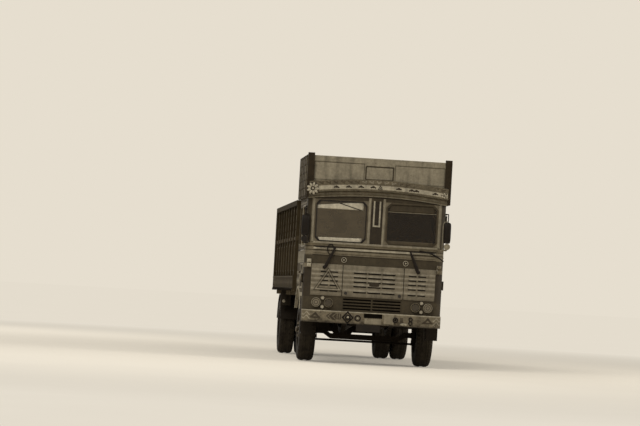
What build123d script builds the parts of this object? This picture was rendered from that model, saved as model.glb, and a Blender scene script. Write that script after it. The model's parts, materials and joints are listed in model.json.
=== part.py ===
from build123d import *
import math
import os

os.makedirs("parts", exist_ok=True)

# A two-axle forward-control lorry with a decorated coachbuilt cab, a roof carrier with a sign board
# and a high-sided cargo body. x points to the lorry's left, y to its rear, z up, in millimetres.
# The origin is on the ground, under the middle of the whole lorry.

# Overall sizes
overall_length = 8400
front_overhang = 1300
rear_overhang = 2220
tow_eye_length = 30
fit_clearance = 0.05
rest_gap = 0.3
door_gap = 8
arch_gap = 10

front_end_y = -overall_length / 2
rear_end_y = overall_length / 2
bumper_face_y = front_end_y + tow_eye_length
front_axle_y = front_end_y + front_overhang
rear_axle_y = rear_end_y - rear_overhang

# Tyres and wheels
tyre_radius = 525
tyre_half_width = 139
tread_half_width = 112
bead_half_width = 88
bead_radius = 258
rim_half_width = 105
rim_wall = 8
rim_flange_radius = 272
rim_flange_width = 8
rim_outer_radius = bead_radius - rest_gap
disc_thickness = 12
hub_face_radius = 150
hub_radius = 62
drum_radius = 205
drum_wall = 10
hand_hole_radius = 26
hand_hole_circle = 212
hand_hole_count = 6
front_track = 2000
dual_spacing = 320
dual_centre_x = 901
spindle_radius = 35
rear_spindle_radius = 55

# Chassis frame
rail_height = 230
rail_flange = 70
rail_wall = 8
rail_outer_x = 430
rail_bottom_z = 810
rail_rear_y = rear_end_y - 120
rail_top_z = rail_bottom_z + rail_height

# Front axle and knuckles
kingpin_x = 850
kingpin_radius = 20
beam_end_radius = 45
beam_end_height = 110
beam_drop = 90
beam_height = 90
beam_half_width = 40
ear_height = 66
ear_radius = 42
ear_gap = 5
steering_arm_length = 190
tie_rod_radius = 18
tie_rod_eye_radius = 28
tie_rod_stud_radius = 12
tie_rod_stud_clearance = 1

# Leaf springs
front_spring_x = 395
front_spring_half_length = 600
front_spring_leaves = 8
front_spring_leaf = 12
front_spring_top_z = 600
front_spring_rise = 90
rear_spring_x = 465
rear_spring_half_length = 700
rear_spring_leaves = 12
rear_spring_leaf = 13
rear_spring_rise = 60
spring_width = 70
rear_axle_tube_radius = 72
banjo_radius = 190
banjo_half_width = 120

# Cab shell
cab_half_width = 1170
cab_wall = 40
cab_corner_radius = 130
cab_front_y = bumper_face_y + 100
cab_length = 1800
cab_return = 160
cab_bottom_z = 883
cab_top_z = 2800
cab_floor_z = 1170
cab_floor_thickness = 40
roof_rise = 60
roof_thickness = 30
cab_rear_y = cab_front_y + cab_length
cab_post_y = cab_front_y + cab_return
cab_inner_x = cab_half_width - cab_wall
rail_front_y = cab_front_y + cab_wall + 10

# Windscreens
screen_inner_x = 165
screen_width = 860
screen_bottom_z = 2030
screen_height = 700
screen_corner_cut = 80
seal_width = 20
seal_lip = 12
seal_proud = 8
seal_depth = 30
glass_thickness = 6
glass_inset = 16

# Doors and the wheel arch
door_length = 900
door_bottom_z = 950
door_top_z = 2700
door_thickness = 40
door_window_bottom_z = 1960
door_window_top_z = 2600
door_window_margin = 110
arch_radius = 700
arch_lip = 40
arch_lip_proud = 12
arch_cut_reach = 1000
hinge_pin_radius = 6
hinge_radius = 13
hinge_offset = 20
hinge_length = 90
hinge_leaf = 60
ear_length = 30
handle_z = 1500
handle_height = 30
handle_length = 110
handle_reach = 26
handle_bar = 10
door_hinge_z = (1400, 2500)

# Grille and front band
grille_bottom_z = 1130
grille_top_z = 1657
grille_half_width = 1040
grille_seam_x = 515
grille_seam = 12
grille_thickness = 14
slot_height = 24
hood_height = 20
hood_depth = 12
slot_rows_z = (1209, 1304, 1380, 1453, 1528)
moulding_z = (1855, 1915, 1975)
moulding_height = 32
moulding_half_width = 1030
moulding_proud = 12
frame_half_width = 62
frame_bar = 26
frame_bottom_z = 2320
frame_proud = 16
triangle_x = -759
triangle_half_width = 230
triangle_bottom_z = 1218
triangle_top_z = 1586
triangle_bar = 26
triangle_proud = 16
lower_grille_half_width = 505
lower_grille_bottom_z = 905
lower_grille_top_z = 1108
headlamp_z = 1010
headlamp_x = (730, 940)
headlamp_radius = 78
small_lamp_x = 832
small_lamp_z = (940, 1087)
small_lamp_radius = 28
small_lamp_depth = 24
lamp_hood_depth = 40
lamp_bowl_y = cab_front_y - 14
lamp_bowl_depth = 30
lens_radius = headlamp_radius - 12
lens_depth = 22
corner_lamp_x = 1092
corner_lamp_half_width = 38
corner_lamp_bottom_z = 1590
corner_lamp_top_z = 1735
corner_lamp_proud = 22
reflector_x = 452
reflector_z = 1186
reflector_radius = 26

# Bumper
bumper_half_width = 1170
bumper_bottom_z = 680
bumper_height = 203
bumper_depth = 75
bumper_wall = 8
bumper_corner = 110
bumper_return = 190
tow_eye_x = 400
tow_eye_radius = 48
tow_bore_radius = 20
bracket_thickness = 12
bracket_length = 260
plate_x = -50
plate_width = 400
plate_height = 120
plate_bolt_spacing = 300
plate_bolt_radius = 3.5
crank_hole_x = (-130, 180)
crank_hole_z = (792, 866)

# Cargo body
cargo_half_width = 1150
cargo_wall = 30
cargo_front_y = cab_rear_y + 70
cargo_floor_z = 1250
cargo_floor_thickness = 60
bearer_height = 90
bearer_width = 60
cargo_top_z = 2750
side_band_height = 250
side_band_proud = 85
post_width = 70
post_proud = 75
post_count = 9
side_rail_bottom_z = 2060
side_rail_height = 60
side_rail_proud = 60
headboard_thickness = 40
headboard_post_depth = 45
headboard_post_width = 70
headboard_post_x = (-800, -400, 0, 400, 800)
deck_thickness = 8
deck_edge = 6
deck_half_width = 1080
top_rail_height = 90
tail_post_length = 100
tail_post_inset = 60
tail_door_middle = 4
tail_rail_height = 80
tail_rail_proud = 8
tail_hinge_strap = 60
tail_bar_proud = 10
tailgate_thickness = 40
tailgate_height = 640
tail_hinge_radius = 16
tail_hinge_pin_radius = 7
tail_hinge_leaf = 50

# Roof carrier
carrier_wall = 40
carrier_half_width = cab_half_width + carrier_wall
carrier_bottom_z = cab_top_z - 50
carrier_post_width = 110
carrier_post_depth = 60

# Brow over the windscreens and sign board above it
brow_sag = 80
brow_depth = 113
brow_bottom_z = cab_top_z + 20
brow_shelf_z = brow_bottom_z + 100
brow_top_z = brow_shelf_z + 115
brow_moulding_height = 65
brow_moulding_depth = 20
fascia_edge = 12
fascia_proud = 12
board_face_y = cab_front_y - 80
board_thickness = 40
board_frame_proud = 14
board_frame_bar = 20
board_panel_proud = 6
board_half_width = 1095
board_inner_x = 260
board_bottom_z = brow_top_z + 5
board_height = 340
board_top_z = board_bottom_z + board_height
centre_panel_half_width = 230
centre_panel_edge = 60
carrier_top_z = board_top_z + 80


def front_plane(y):
    """Plane across the lorry that faces forward: local x is X and local y is Z."""
    return Plane.XZ.offset(-y)


def side_plane(x):
    """Plane along the lorry: local x is Y and local y is Z."""
    return Plane.YZ.offset(x)


def rectangle(x0, x1, y0, y1, mode=Mode.ADD):
    """Rectangle in the open sketch from its four edges."""
    with Locations(((x0 + x1) / 2, (y0 + y1) / 2)):
        Rectangle(abs(x1 - x0), abs(y1 - y0), mode=mode)


def block(x0, x1, y0, y1, z0, z1, mode=Mode.ADD):
    """Block in the open part from its six faces."""
    with Locations(((x0 + x1) / 2, (y0 + y1) / 2, (z0 + z1) / 2)):
        Box(abs(x1 - x0), abs(y1 - y0), abs(z1 - z0), mode=mode)


def screen_outlines(grow, mode=Mode.ADD):
    """Both windscreens' outlines with their corners cut off, larger all round by grow."""
    half_width = screen_width / 2 + grow
    half_height = screen_height / 2 + grow
    cut = screen_corner_cut + grow * (2 - math.sqrt(2))
    for sign in (-1, 1):
        x = sign * (screen_inner_x + screen_width / 2)
        z = screen_bottom_z + screen_height / 2
        with BuildLine() as outline:
            Polyline(
                (x - half_width, z - half_height + cut),
                (x - half_width + cut, z - half_height),
                (x + half_width - cut, z - half_height),
                (x + half_width, z - half_height + cut),
                (x + half_width, z + half_height - cut),
                (x + half_width - cut, z + half_height),
                (x - half_width + cut, z + half_height),
                (x - half_width, z + half_height - cut),
                close=True,
            )
        make_face(outline.edges(), mode=mode)


def wheel_plane(x, y, z, sign):
    """Plane through a wheel's axis: local x points outward, local y along a radius."""
    return Plane(origin=(x, y, z), x_dir=(sign, 0, 0), z_dir=(0, -1, 0))


def tyre_profile(offset):
    """Cross-section of a tyre, its middle at the given distance along the axis."""
    shoulder_radius = tyre_radius - 8
    with BuildLine() as outline:
        Polyline(
            (offset - bead_half_width, bead_radius + 18),
            (offset - bead_half_width, bead_radius),
            (offset + bead_half_width, bead_radius),
            (offset + bead_half_width, bead_radius + 18),
        )
        ThreePointArc(
            (offset + bead_half_width, bead_radius + 18),
            (offset + tyre_half_width, (bead_radius + tyre_radius) / 2),
            (offset + tread_half_width, shoulder_radius),
        )
        ThreePointArc(
            (offset + tread_half_width, shoulder_radius),
            (offset, tyre_radius),
            (offset - tread_half_width, shoulder_radius),
        )
        ThreePointArc(
            (offset - tread_half_width, shoulder_radius),
            (offset - tyre_half_width, (bead_radius + tyre_radius) / 2),
            (offset - bead_half_width, bead_radius + 18),
        )
    make_face(outline.edges())


def rim_profile(offset, face_offset, side):
    """Rim barrel, flanges and dished disc; side is the direction in which the disc is dished."""
    inner_radius = rim_outer_radius - rim_wall
    rectangle(offset - rim_half_width, offset + rim_half_width, inner_radius, rim_outer_radius)
    for end in (-1, 1):
        outer = offset + end * rim_half_width
        rectangle(outer - end * rim_flange_width, outer, inner_radius, rim_flange_radius)
    start = offset + side * 60
    with BuildLine() as outline:
        Polyline(
            (start, inner_radius + 2),
            (start + side * disc_thickness, inner_radius + 2),
            (face_offset, hub_face_radius),
            (face_offset, hub_radius),
            (face_offset - side * disc_thickness, hub_radius),
            (face_offset - side * disc_thickness, hub_face_radius - 4),
            close=True,
        )
    make_face(outline.edges())


def hand_holes(plane, start, depth):
    """Ring of round holes through a wheel disc, from start outward."""
    across = Plane(origin=plane.origin, x_dir=(0, 1, 0), z_dir=plane.x_dir)
    with BuildSketch(across.offset(start)) as ring:
        with PolarLocations(hand_hole_circle, hand_hole_count):
            Circle(hand_hole_radius)
    extrude(ring.sketch, amount=depth, mode=Mode.SUBTRACT)


sides = (("left", 1), ("right", -1))

# Sizes that several pieces share
tail_door_hinge_z = (2020, 2600)
tail_door_outer_x = cargo_half_width - tail_post_inset - door_gap
tail_door_hinge_x = tail_door_outer_x + door_gap / 2
tail_door_bottom_z = cargo_floor_z + tailgate_height + 3 * door_gap
cargo_rear_y = rear_end_y - 2 * tail_hinge_radius
tail_hinge_y = cargo_rear_y + tail_hinge_radius
tail_hinge_axis_z = cargo_floor_z + door_gap / 2
tail_hinge_x = (-800, 0, 800)
tail_hinge_length = 120
lamp_bar_z = rail_bottom_z - 90
lamp_bar_height = 110
lamp_bar_half_width = 1100
rear_lamp_x = (910, 1030)
rear_lamp_radius = 45
rear_lamp_depth = 28
rear_bar_face_y = rail_rear_y + 60
door_front_y = cab_post_y
door_rear_y = door_front_y + door_length
quarter_window_y = (door_rear_y + 130, cab_rear_y - 120)

# Front axle: a dropped beam with an upright boss and a kingpin at each end
axle_z = tyre_radius
beam_end_bottom_z = axle_z - beam_end_height / 2
beam_end_top_z = axle_z + beam_end_height / 2
beam_top_z = beam_end_top_z - beam_drop
spring_bottom_z = front_spring_top_z - front_spring_leaves * front_spring_leaf
kingpin_bottom_z = beam_end_bottom_z - ear_gap - ear_height
kingpin_top_z = beam_end_top_z + ear_gap + ear_height
beam_bend_inset = 150
beam_bend_run = 120
beam_eye_step = 10
pad_margin = 8
pad_half_length = 70
beam_side_x = kingpin_x - beam_bend_inset
with BuildPart() as front_axle:
    with BuildSketch(front_plane(front_axle_y + beam_half_width)):
        with BuildLine():
            Polyline(
                (-kingpin_x, beam_end_top_z - beam_eye_step),
                (-beam_side_x, beam_end_top_z - beam_eye_step),
                (-beam_side_x + beam_bend_run, beam_top_z),
                (beam_side_x - beam_bend_run, beam_top_z),
                (beam_side_x, beam_end_top_z - beam_eye_step),
                (kingpin_x, beam_end_top_z - beam_eye_step),
                (kingpin_x, beam_end_bottom_z + beam_eye_step),
                (beam_side_x, beam_end_bottom_z + beam_eye_step),
                (beam_side_x - beam_bend_run, beam_top_z - beam_height),
                (-beam_side_x + beam_bend_run, beam_top_z - beam_height),
                (-beam_side_x, beam_end_bottom_z + beam_eye_step),
                (-kingpin_x, beam_end_bottom_z + beam_eye_step),
                close=True,
            )
        make_face()
    extrude(amount=2 * beam_half_width)
    for sign in (-1, 1):
        with Locations((sign * kingpin_x, front_axle_y, axle_z)):
            Cylinder(beam_end_radius, beam_end_height)
        with Locations((sign * kingpin_x, front_axle_y, (kingpin_bottom_z + kingpin_top_z) / 2)):
            Cylinder(kingpin_radius, kingpin_top_z - kingpin_bottom_z)
        block(
            sign * front_spring_x - spring_width / 2 - pad_margin,
            sign * front_spring_x + spring_width / 2 + pad_margin,
            front_axle_y - pad_half_length,
            front_axle_y + pad_half_length,
            beam_top_z,
            spring_bottom_z,
        )
front_axle.part.label = "front_axle"
export_step(front_axle.part, "parts/front_axle.step")

# Leaf springs: a stack of curved leaves, each shorter than the one above, hung from the rails
rear_pad_height = 8
rear_pad_margin = 6
rear_hanger_rise = 110
leaf_shortening = 0.8
hanger_half_length = 30
hanger_overlap = 24
spring_tables = (
    # axle, centre x, axle y, top z, half length, leaves, leaf thickness, rise, hanger top z
    ("front", front_spring_x, front_axle_y, front_spring_top_z, front_spring_half_length,
     front_spring_leaves, front_spring_leaf, front_spring_rise, rail_bottom_z),
    ("rear", rear_spring_x, rear_axle_y,
     axle_z + rear_axle_tube_radius + rear_pad_height + rear_spring_leaves * rear_spring_leaf,
     rear_spring_half_length, rear_spring_leaves, rear_spring_leaf, rear_spring_rise,
     rail_bottom_z + rear_hanger_rise),
)
with BuildPart() as springs:
    for _, centre_x, axle_y, top_z, half_length, leaves, leaf, rise, hanger_top_z in spring_tables:
        bend = (half_length**2 + rise**2) / (2 * rise)
        centre_z = top_z + bend
        for sign in (-1, 1):
            with BuildSketch(side_plane(sign * centre_x - spring_width / 2)):
                for index in range(leaves):
                    reach = half_length * (1 - leaf_shortening * index / (leaves - 1) if index > 1 else 1)
                    inner = bend + index * leaf
                    outer = inner + leaf
                    angle = math.asin(reach / bend)
                    ends = [
                        (axle_y + side * radius * math.sin(angle), centre_z - radius * math.cos(angle))
                        for radius, side in ((inner, -1), (inner, 1), (outer, 1), (outer, -1))
                    ]
                    with BuildLine():
                        ThreePointArc(ends[0], (axle_y, centre_z - inner), ends[1])
                        Line(ends[1], ends[2])
                        ThreePointArc(ends[2], (axle_y, centre_z - outer), ends[3])
                        Line(ends[3], ends[0])
                    make_face()
            extrude(amount=spring_width)
            for end in (-1, 1):
                block(
                    sign * centre_x - spring_width / 2,
                    sign * centre_x + spring_width / 2,
                    axle_y + end * half_length - hanger_half_length,
                    axle_y + end * half_length + hanger_half_length,
                    top_z + rise - hanger_overlap,
                    hanger_top_z,
                )
springs.part.label = "leaf_springs"
export_step(springs.part, "parts/leaf_springs.step")

# Rear axle: banjo housing with a tube and a spindle on each side
rear_hub_inset = 260
rear_spindle_reach = 130
pinion_radius = 90
pinion_length = 120
rear_wheel_inner_x = dual_centre_x - rear_hub_inset
with BuildPart() as rear_axle:
    with BuildSketch(wheel_plane(0, rear_axle_y, axle_z, 1)):
        rectangle(-rear_wheel_inner_x, rear_wheel_inner_x, 0, rear_axle_tube_radius)
        rectangle(
            -dual_centre_x - rear_spindle_reach, dual_centre_x + rear_spindle_reach,
            0, rear_spindle_radius,
        )
    revolve(axis=Axis((0, rear_axle_y, axle_z), (1, 0, 0)))
    with BuildSketch(front_plane(rear_axle_y + banjo_half_width)):
        with Locations((0, axle_z)):
            Circle(banjo_radius)
    extrude(amount=2 * banjo_half_width)
    with Locations(Location((0, rear_axle_y - banjo_half_width - pinion_length / 2, axle_z), (90, 0, 0))):
        Cylinder(pinion_radius, pinion_length)
    for sign in (-1, 1):
        block(
            sign * rear_spring_x - spring_width / 2 - rear_pad_margin,
            sign * rear_spring_x + spring_width / 2 + rear_pad_margin,
            rear_axle_y - pad_half_length,
            rear_axle_y + pad_half_length,
            axle_z,
            axle_z + rear_axle_tube_radius + rear_pad_height,
        )
rear_axle.part.label = "rear_axle"
export_step(rear_axle.part, "parts/rear_axle.step")

# Chassis frame: two channel rails with their webs outside, joined by cross-members
end_member_inset = 60
cab_member_offset = 750
middle_member_offset = 2000
spring_member_offset = 850
cross_member_y = (
    rail_front_y + end_member_inset,
    front_axle_y + cab_member_offset,
    front_axle_y + middle_member_offset,
    rear_axle_y - spring_member_offset,
    rear_axle_y + spring_member_offset,
    rail_rear_y - end_member_inset,
)
member_half_width = 35
member_web = 4
member_inset = 40
rail_inner_x = rail_outer_x - rail_wall
with BuildPart() as chassis:
    for sign in (-1, 1):
        with BuildSketch(front_plane(rail_rear_y)):
            rectangle(sign * rail_outer_x, sign * rail_inner_x, rail_bottom_z, rail_top_z)
            for edge_z in (rail_bottom_z, rail_top_z - rail_wall):
                rectangle(
                    sign * rail_outer_x, sign * (rail_outer_x - rail_flange), edge_z, edge_z + rail_wall
                )
        extrude(amount=rail_rear_y - rail_front_y)
    for y in cross_member_y:
        block(
            -rail_inner_x, rail_inner_x,
            y - member_half_width, y + member_half_width,
            rail_bottom_z + member_inset, rail_bottom_z + member_inset + 2 * member_web,
        )
        block(
            -rail_inner_x, rail_inner_x,
            y - member_web, y + member_web,
            rail_bottom_z + member_inset, rail_top_z - member_inset,
        )
    block(
        -lamp_bar_half_width, lamp_bar_half_width,
        rail_rear_y, rear_bar_face_y,
        lamp_bar_z, lamp_bar_z + lamp_bar_height,
    )
    for sign in (-1, 1):
        block(
            sign * rail_outer_x, sign * (rail_outer_x - rail_flange), rail_rear_y, rear_bar_face_y,
            lamp_bar_z, rail_top_z,
        )
chassis.part.label = "chassis_frame"
export_step(chassis.part, "parts/chassis_frame.step")

# Engine and gearbox as one plain block between the rails, with the radiator standing before them
radiator_y = cab_front_y + 150
radiator_depth = 70
radiator_half_width = 400
radiator_top_z = 1620
radiator_edge = 60
core_half_width = 370
core_proud = 6
gearbox_half_width = 190
gearbox_top_z = 1010
gearbox_raise = 20
mount_length = 100
mount_height = 60
engine_front_y = front_axle_y - 820
engine_rear_y = front_axle_y + 150
gearbox_rear_y = front_axle_y + 700
engine_half_width = 300
engine_bottom_z = 640
engine_top_z = 1420
with BuildPart() as engine:
    block(
        -engine_half_width, engine_half_width, engine_front_y, engine_rear_y, engine_bottom_z, engine_top_z
    )
    block(
        -gearbox_half_width, gearbox_half_width,
        engine_rear_y, gearbox_rear_y,
        engine_bottom_z + gearbox_raise, gearbox_top_z,
    )
    for sign in (-1, 1):
        block(
            sign * engine_half_width,
            sign * (rail_outer_x - rail_flange),
            engine_front_y + 2 * mount_length,
            engine_front_y + 3 * mount_length,
            rail_top_z - rail_wall - mount_height,
            rail_top_z - rail_wall,
        )
    block(
        -radiator_half_width, radiator_half_width,
        radiator_y, radiator_y + radiator_depth,
        rail_top_z, radiator_top_z,
    )
    block(
        -core_half_width, core_half_width,
        radiator_y - core_proud, radiator_y,
        rail_top_z + radiator_edge, radiator_top_z - radiator_edge,
    )
engine.part.label = "engine_block"
export_step(engine.part, "parts/engine_block.step")

# Propeller shaft from the gearbox down to the rear axle
shaft_radius = 50
flange_radius = 70
flange_thickness = 30
shaft_start_z = 780
shaft_start = Vector(0, gearbox_rear_y, shaft_start_z)
shaft_end = Vector(0, rear_axle_y - banjo_half_width - pinion_length, axle_z)
shaft_vector = shaft_end - shaft_start - Vector(0, flange_thickness, 0)
with BuildPart() as propeller_shaft:
    with BuildSketch(Plane(origin=shaft_start + Vector(0, flange_thickness / 2, 0), z_dir=shaft_vector)):
        Circle(shaft_radius)
    extrude(amount=shaft_vector.length)
    for face_y, face_z in (
        (shaft_start.Y, shaft_start.Z), (shaft_end.Y - flange_thickness, shaft_end.Z)
    ):
        with Locations(Location((0, face_y + flange_thickness / 2, face_z), (90, 0, 0))):
            Cylinder(flange_radius, flange_thickness)
propeller_shaft.part.label = "propeller_shaft"
export_step(propeller_shaft.part, "parts/propeller_shaft.step")

# Front wheels on steered knuckles
front_wheel_x = front_track / 2
disc_face = 125
web_start = kingpin_x + beam_end_radius + ear_gap
web_gap = 72
web_end = front_wheel_x - web_gap
web_half_length = 50
ear_half_length = 40
backplate_inner = -92
backplate_outer = -84
backplate_gap = 8
bearing_outer = -62
bearing_step = 15
spindle_end = 118
arm_root_half_width = 30
arm_half_width = 24
arm_thickness = 30
stud_length = 50
hand_hole_start = 60
drum_end_wall = 12
drum_bore_gap = 10
hub_flange_step = 2
hub_cap_step = 10
hub_cap_round = 12
rear_hand_hole_reach = 110
rear_drum_inner = -250
rear_drum_outer = -40
rear_drum_bore_gap = 5
rear_hub_inner = -230
rear_hub_outer = 140
rear_hub_wall = 30
rear_hub_cap_wall = 40
front_drum_inner = -70
front_drum_outer = 101
front_hub_inner = -58
hub_cap_end = 165
for name, sign in sides:
    with BuildPart() as knuckle:
        for ear_z in (kingpin_bottom_z + ear_height / 2, kingpin_top_z - ear_height / 2):
            with Locations((sign * kingpin_x, front_axle_y, ear_z)):
                Cylinder(ear_radius, ear_height)
            block(
                sign * kingpin_x, sign * web_end,
                front_axle_y - ear_half_length, front_axle_y + ear_half_length,
                ear_z - ear_height / 2, ear_z + ear_height / 2,
            )
        block(
            sign * web_start, sign * web_end,
            front_axle_y - web_half_length, front_axle_y + web_half_length,
            kingpin_bottom_z, kingpin_top_z,
        )
        with BuildSketch(wheel_plane(sign * front_wheel_x, front_axle_y, axle_z, sign)):
            rectangle(backplate_inner, backplate_outer, 0, drum_radius - backplate_gap)
            rectangle(-web_gap, bearing_outer, 0, spindle_radius + bearing_step)
            rectangle(-web_gap, spindle_end, 0, spindle_radius)
        revolve(axis=Axis((sign * front_wheel_x, front_axle_y, axle_z), (1, 0, 0)))
        with BuildSketch(Plane.XY.offset(kingpin_bottom_z)):
            with BuildLine():
                Polyline(
                    (sign * (kingpin_x - arm_root_half_width), front_axle_y),
                    (sign * (kingpin_x + arm_root_half_width), front_axle_y),
                    (sign * (kingpin_x + arm_half_width), front_axle_y + steering_arm_length),
                    (sign * (kingpin_x - arm_half_width), front_axle_y + steering_arm_length),
                    close=True,
                )
            make_face()
            with Locations((sign * kingpin_x, front_axle_y + steering_arm_length)):
                Circle(arm_half_width)
        extrude(amount=arm_thickness)
        with Locations(
            (sign * kingpin_x, front_axle_y + steering_arm_length, kingpin_bottom_z - stud_length / 2)
        ):
            Cylinder(tie_rod_stud_radius, stud_length)
        with Locations((sign * kingpin_x, front_axle_y, (kingpin_bottom_z + kingpin_top_z) / 2)):
            Cylinder(
                kingpin_radius + fit_clearance,
                kingpin_top_z - kingpin_bottom_z,
                mode=Mode.SUBTRACT,
            )
    knuckle.part.label = f"knuckle_{name}"
    export_step(knuckle.part, f"parts/knuckle_{name}.step")

    plane = wheel_plane(sign * front_wheel_x, front_axle_y, axle_z, sign)
    spin_axis = Axis((sign * front_wheel_x, front_axle_y, axle_z), (1, 0, 0))
    with BuildPart() as front_wheel:
        with BuildSketch(plane):
            rim_profile(0, disc_face, 1)
        revolve(axis=spin_axis)
        hand_holes(plane, hand_hole_start, disc_face - hand_hole_start)
        with BuildSketch(plane):
            rectangle(front_drum_inner, front_drum_outer, drum_radius - drum_wall, drum_radius)
            rectangle(
                front_drum_outer - drum_end_wall, front_drum_outer,
                spindle_radius + drum_bore_gap, drum_radius,
            )
            rectangle(
                front_hub_inner, disc_face,
                spindle_radius + fit_clearance, hub_radius + hub_flange_step,
            )
            rectangle(disc_face, hub_cap_end, 0, hub_radius - hub_cap_step)
        revolve(axis=spin_axis)
        cap_edge = front_wheel.edges().filter_by(GeomType.CIRCLE).sort_by(Axis.X)[-1 if sign > 0 else 0]
        fillet(cap_edge, hub_cap_round)
    front_wheel.part.label = f"front_wheel_{name}"
    export_step(front_wheel.part, f"parts/front_wheel_{name}.step")

    with BuildPart() as front_tyre:
        with BuildSketch(plane):
            tyre_profile(0)
        revolve(axis=spin_axis)
    front_tyre.part.label = f"front_tyre_{name}"
    export_step(front_tyre.part, f"parts/front_tyre_{name}.step")

    plane = wheel_plane(sign * dual_centre_x, rear_axle_y, axle_z, sign)
    spin_axis = Axis((sign * dual_centre_x, rear_axle_y, axle_z), (1, 0, 0))
    with BuildPart() as rear_wheel:
        with BuildSketch(plane):
            rim_profile(-dual_spacing / 2, 0, 1)
            rim_profile(dual_spacing / 2, 0, -1)
        revolve(axis=spin_axis)
        hand_holes(plane, -rear_hand_hole_reach, 2 * rear_hand_hole_reach)
        with BuildSketch(plane):
            rectangle(rear_drum_inner, rear_drum_outer, drum_radius - drum_wall, drum_radius)
            rectangle(
                rear_drum_outer - drum_end_wall, rear_drum_outer,
                rear_spindle_radius + rear_drum_bore_gap, drum_radius,
            )
            rectangle(
                rear_hub_inner, rear_hub_outer,
                rear_spindle_radius + fit_clearance, rear_spindle_radius + rear_hub_wall,
            )
            rectangle(rear_hub_outer, hub_cap_end, 0, rear_spindle_radius + rear_hub_cap_wall)
        revolve(axis=spin_axis)
    rear_wheel.part.label = f"rear_wheel_{name}"
    export_step(rear_wheel.part, f"parts/rear_wheel_{name}.step")

    with BuildPart() as rear_tyres:
        with BuildSketch(plane):
            tyre_profile(-dual_spacing / 2)
            tyre_profile(dual_spacing / 2)
        revolve(axis=spin_axis)
    rear_tyres.part.label = f"rear_tyres_{name}"
    export_step(rear_tyres.part, f"parts/rear_tyres_{name}.step")

# Tie rod: joins both steering arms behind the axle, with an eye over each arm's stud
tie_rod_eye_height = 44
eye_bore_length = 60
tie_rod_z = kingpin_bottom_z - stud_length / 2
tie_rod_y = front_axle_y + steering_arm_length
with BuildPart() as tie_rod:
    with Locations(Location((0, tie_rod_y, tie_rod_z), (0, 90, 0))):
        Cylinder(tie_rod_radius, 2 * kingpin_x)
    with Locations((-kingpin_x, tie_rod_y, tie_rod_z), (kingpin_x, tie_rod_y, tie_rod_z)):
        Cylinder(tie_rod_eye_radius, tie_rod_eye_height)
    with Locations((kingpin_x, tie_rod_y, tie_rod_z)):
        Cylinder(tie_rod_stud_radius + fit_clearance, eye_bore_length, mode=Mode.SUBTRACT)
    with Locations((-kingpin_x, tie_rod_y, tie_rod_z)):
        Cylinder(
            tie_rod_stud_radius + tie_rod_stud_clearance, eye_bore_length, mode=Mode.SUBTRACT
        )
tie_rod.part.label = "tie_rod"
export_step(tie_rod.part, "parts/tie_rod.step")

# Cab front: a U-shaped wall with its corner posts, cut for windscreens, grille and lower grille
screen_top_z = screen_bottom_z + screen_height
intake_half_width = 440
intake_edge = 30
cut_overrun = 200
with BuildPart() as cab_front:
    with BuildSketch(Plane.XY.offset(cab_bottom_z)):
        rectangle(-cab_half_width, cab_half_width, cab_front_y, cab_post_y)
        fillet(
            [v for v in vertices() if v.Y < cab_front_y + 1],
            cab_corner_radius,
        )
        with BuildSketch(mode=Mode.SUBTRACT):
            rectangle(-cab_inner_x, cab_inner_x, cab_front_y + cab_wall, cab_post_y + cut_overrun)
            fillet(
                [v for v in vertices() if v.Y < cab_front_y + cab_wall + 1],
                cab_corner_radius - cab_wall,
            )
    extrude(amount=cab_top_z - cab_bottom_z)
    with BuildSketch(front_plane(cab_front_y + cab_wall + 1)):
        screen_outlines(0)
        rectangle(
            -intake_half_width, intake_half_width, grille_bottom_z + intake_edge, grille_top_z - intake_edge
        )
        rectangle(
            -lower_grille_half_width, lower_grille_half_width, lower_grille_bottom_z, lower_grille_top_z
        )
    extrude(amount=cab_wall + 2, mode=Mode.SUBTRACT)
    for _, sign in sides:
        block(
            sign * (corner_lamp_x - corner_lamp_half_width),
            sign * (corner_lamp_x + corner_lamp_half_width),
            cab_front_y - corner_lamp_proud,
            cab_front_y + cab_wall / 2,
            corner_lamp_bottom_z,
            corner_lamp_top_z,
        )
cab_front.part.label = "cab_front"
export_step(cab_front.part, "parts/cab_front.step")

# Windscreen seals, the belt mouldings below them and the U-shaped frame on the centre pillar
with BuildPart() as front_trim:
    with BuildSketch(front_plane(cab_front_y + seal_depth)):
        screen_outlines(0)
        screen_outlines(-seal_width, Mode.SUBTRACT)
    extrude(amount=seal_depth)
    with BuildSketch(front_plane(cab_front_y)):
        screen_outlines(seal_lip)
        screen_outlines(-seal_width, Mode.SUBTRACT)
    extrude(amount=seal_proud)
    for z in moulding_z:
        with BuildSketch(front_plane(cab_front_y)):
            rectangle(
                -moulding_half_width, moulding_half_width, z - moulding_height / 2, z + moulding_height / 2
            )
        extrude(amount=moulding_proud)
    with BuildSketch(front_plane(cab_front_y)):
        rectangle(-frame_half_width, frame_half_width, frame_bottom_z, screen_top_z + seal_width)
        rectangle(
            -frame_half_width + frame_bar, frame_half_width - frame_bar,
            frame_bottom_z + frame_bar, screen_top_z + seal_width,
            mode=Mode.SUBTRACT,
        )
    extrude(amount=frame_proud)
front_trim.part.label = "front_trim"
export_step(front_trim.part, "parts/front_trim.step")

with BuildPart() as cab_glass:
    with BuildSketch(front_plane(cab_front_y + glass_inset)):
        screen_outlines(-seal_width)
    extrude(amount=glass_thickness)
    for sign in (-1, 1):
        with BuildSketch(side_plane(sign * (cab_inner_x + glass_inset))):
            rectangle(*quarter_window_y, door_window_bottom_z, door_window_top_z)
        extrude(amount=sign * glass_thickness)
cab_glass.part.label = "cab_glass"
export_step(cab_glass.part, "parts/cab_glass.step")

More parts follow.
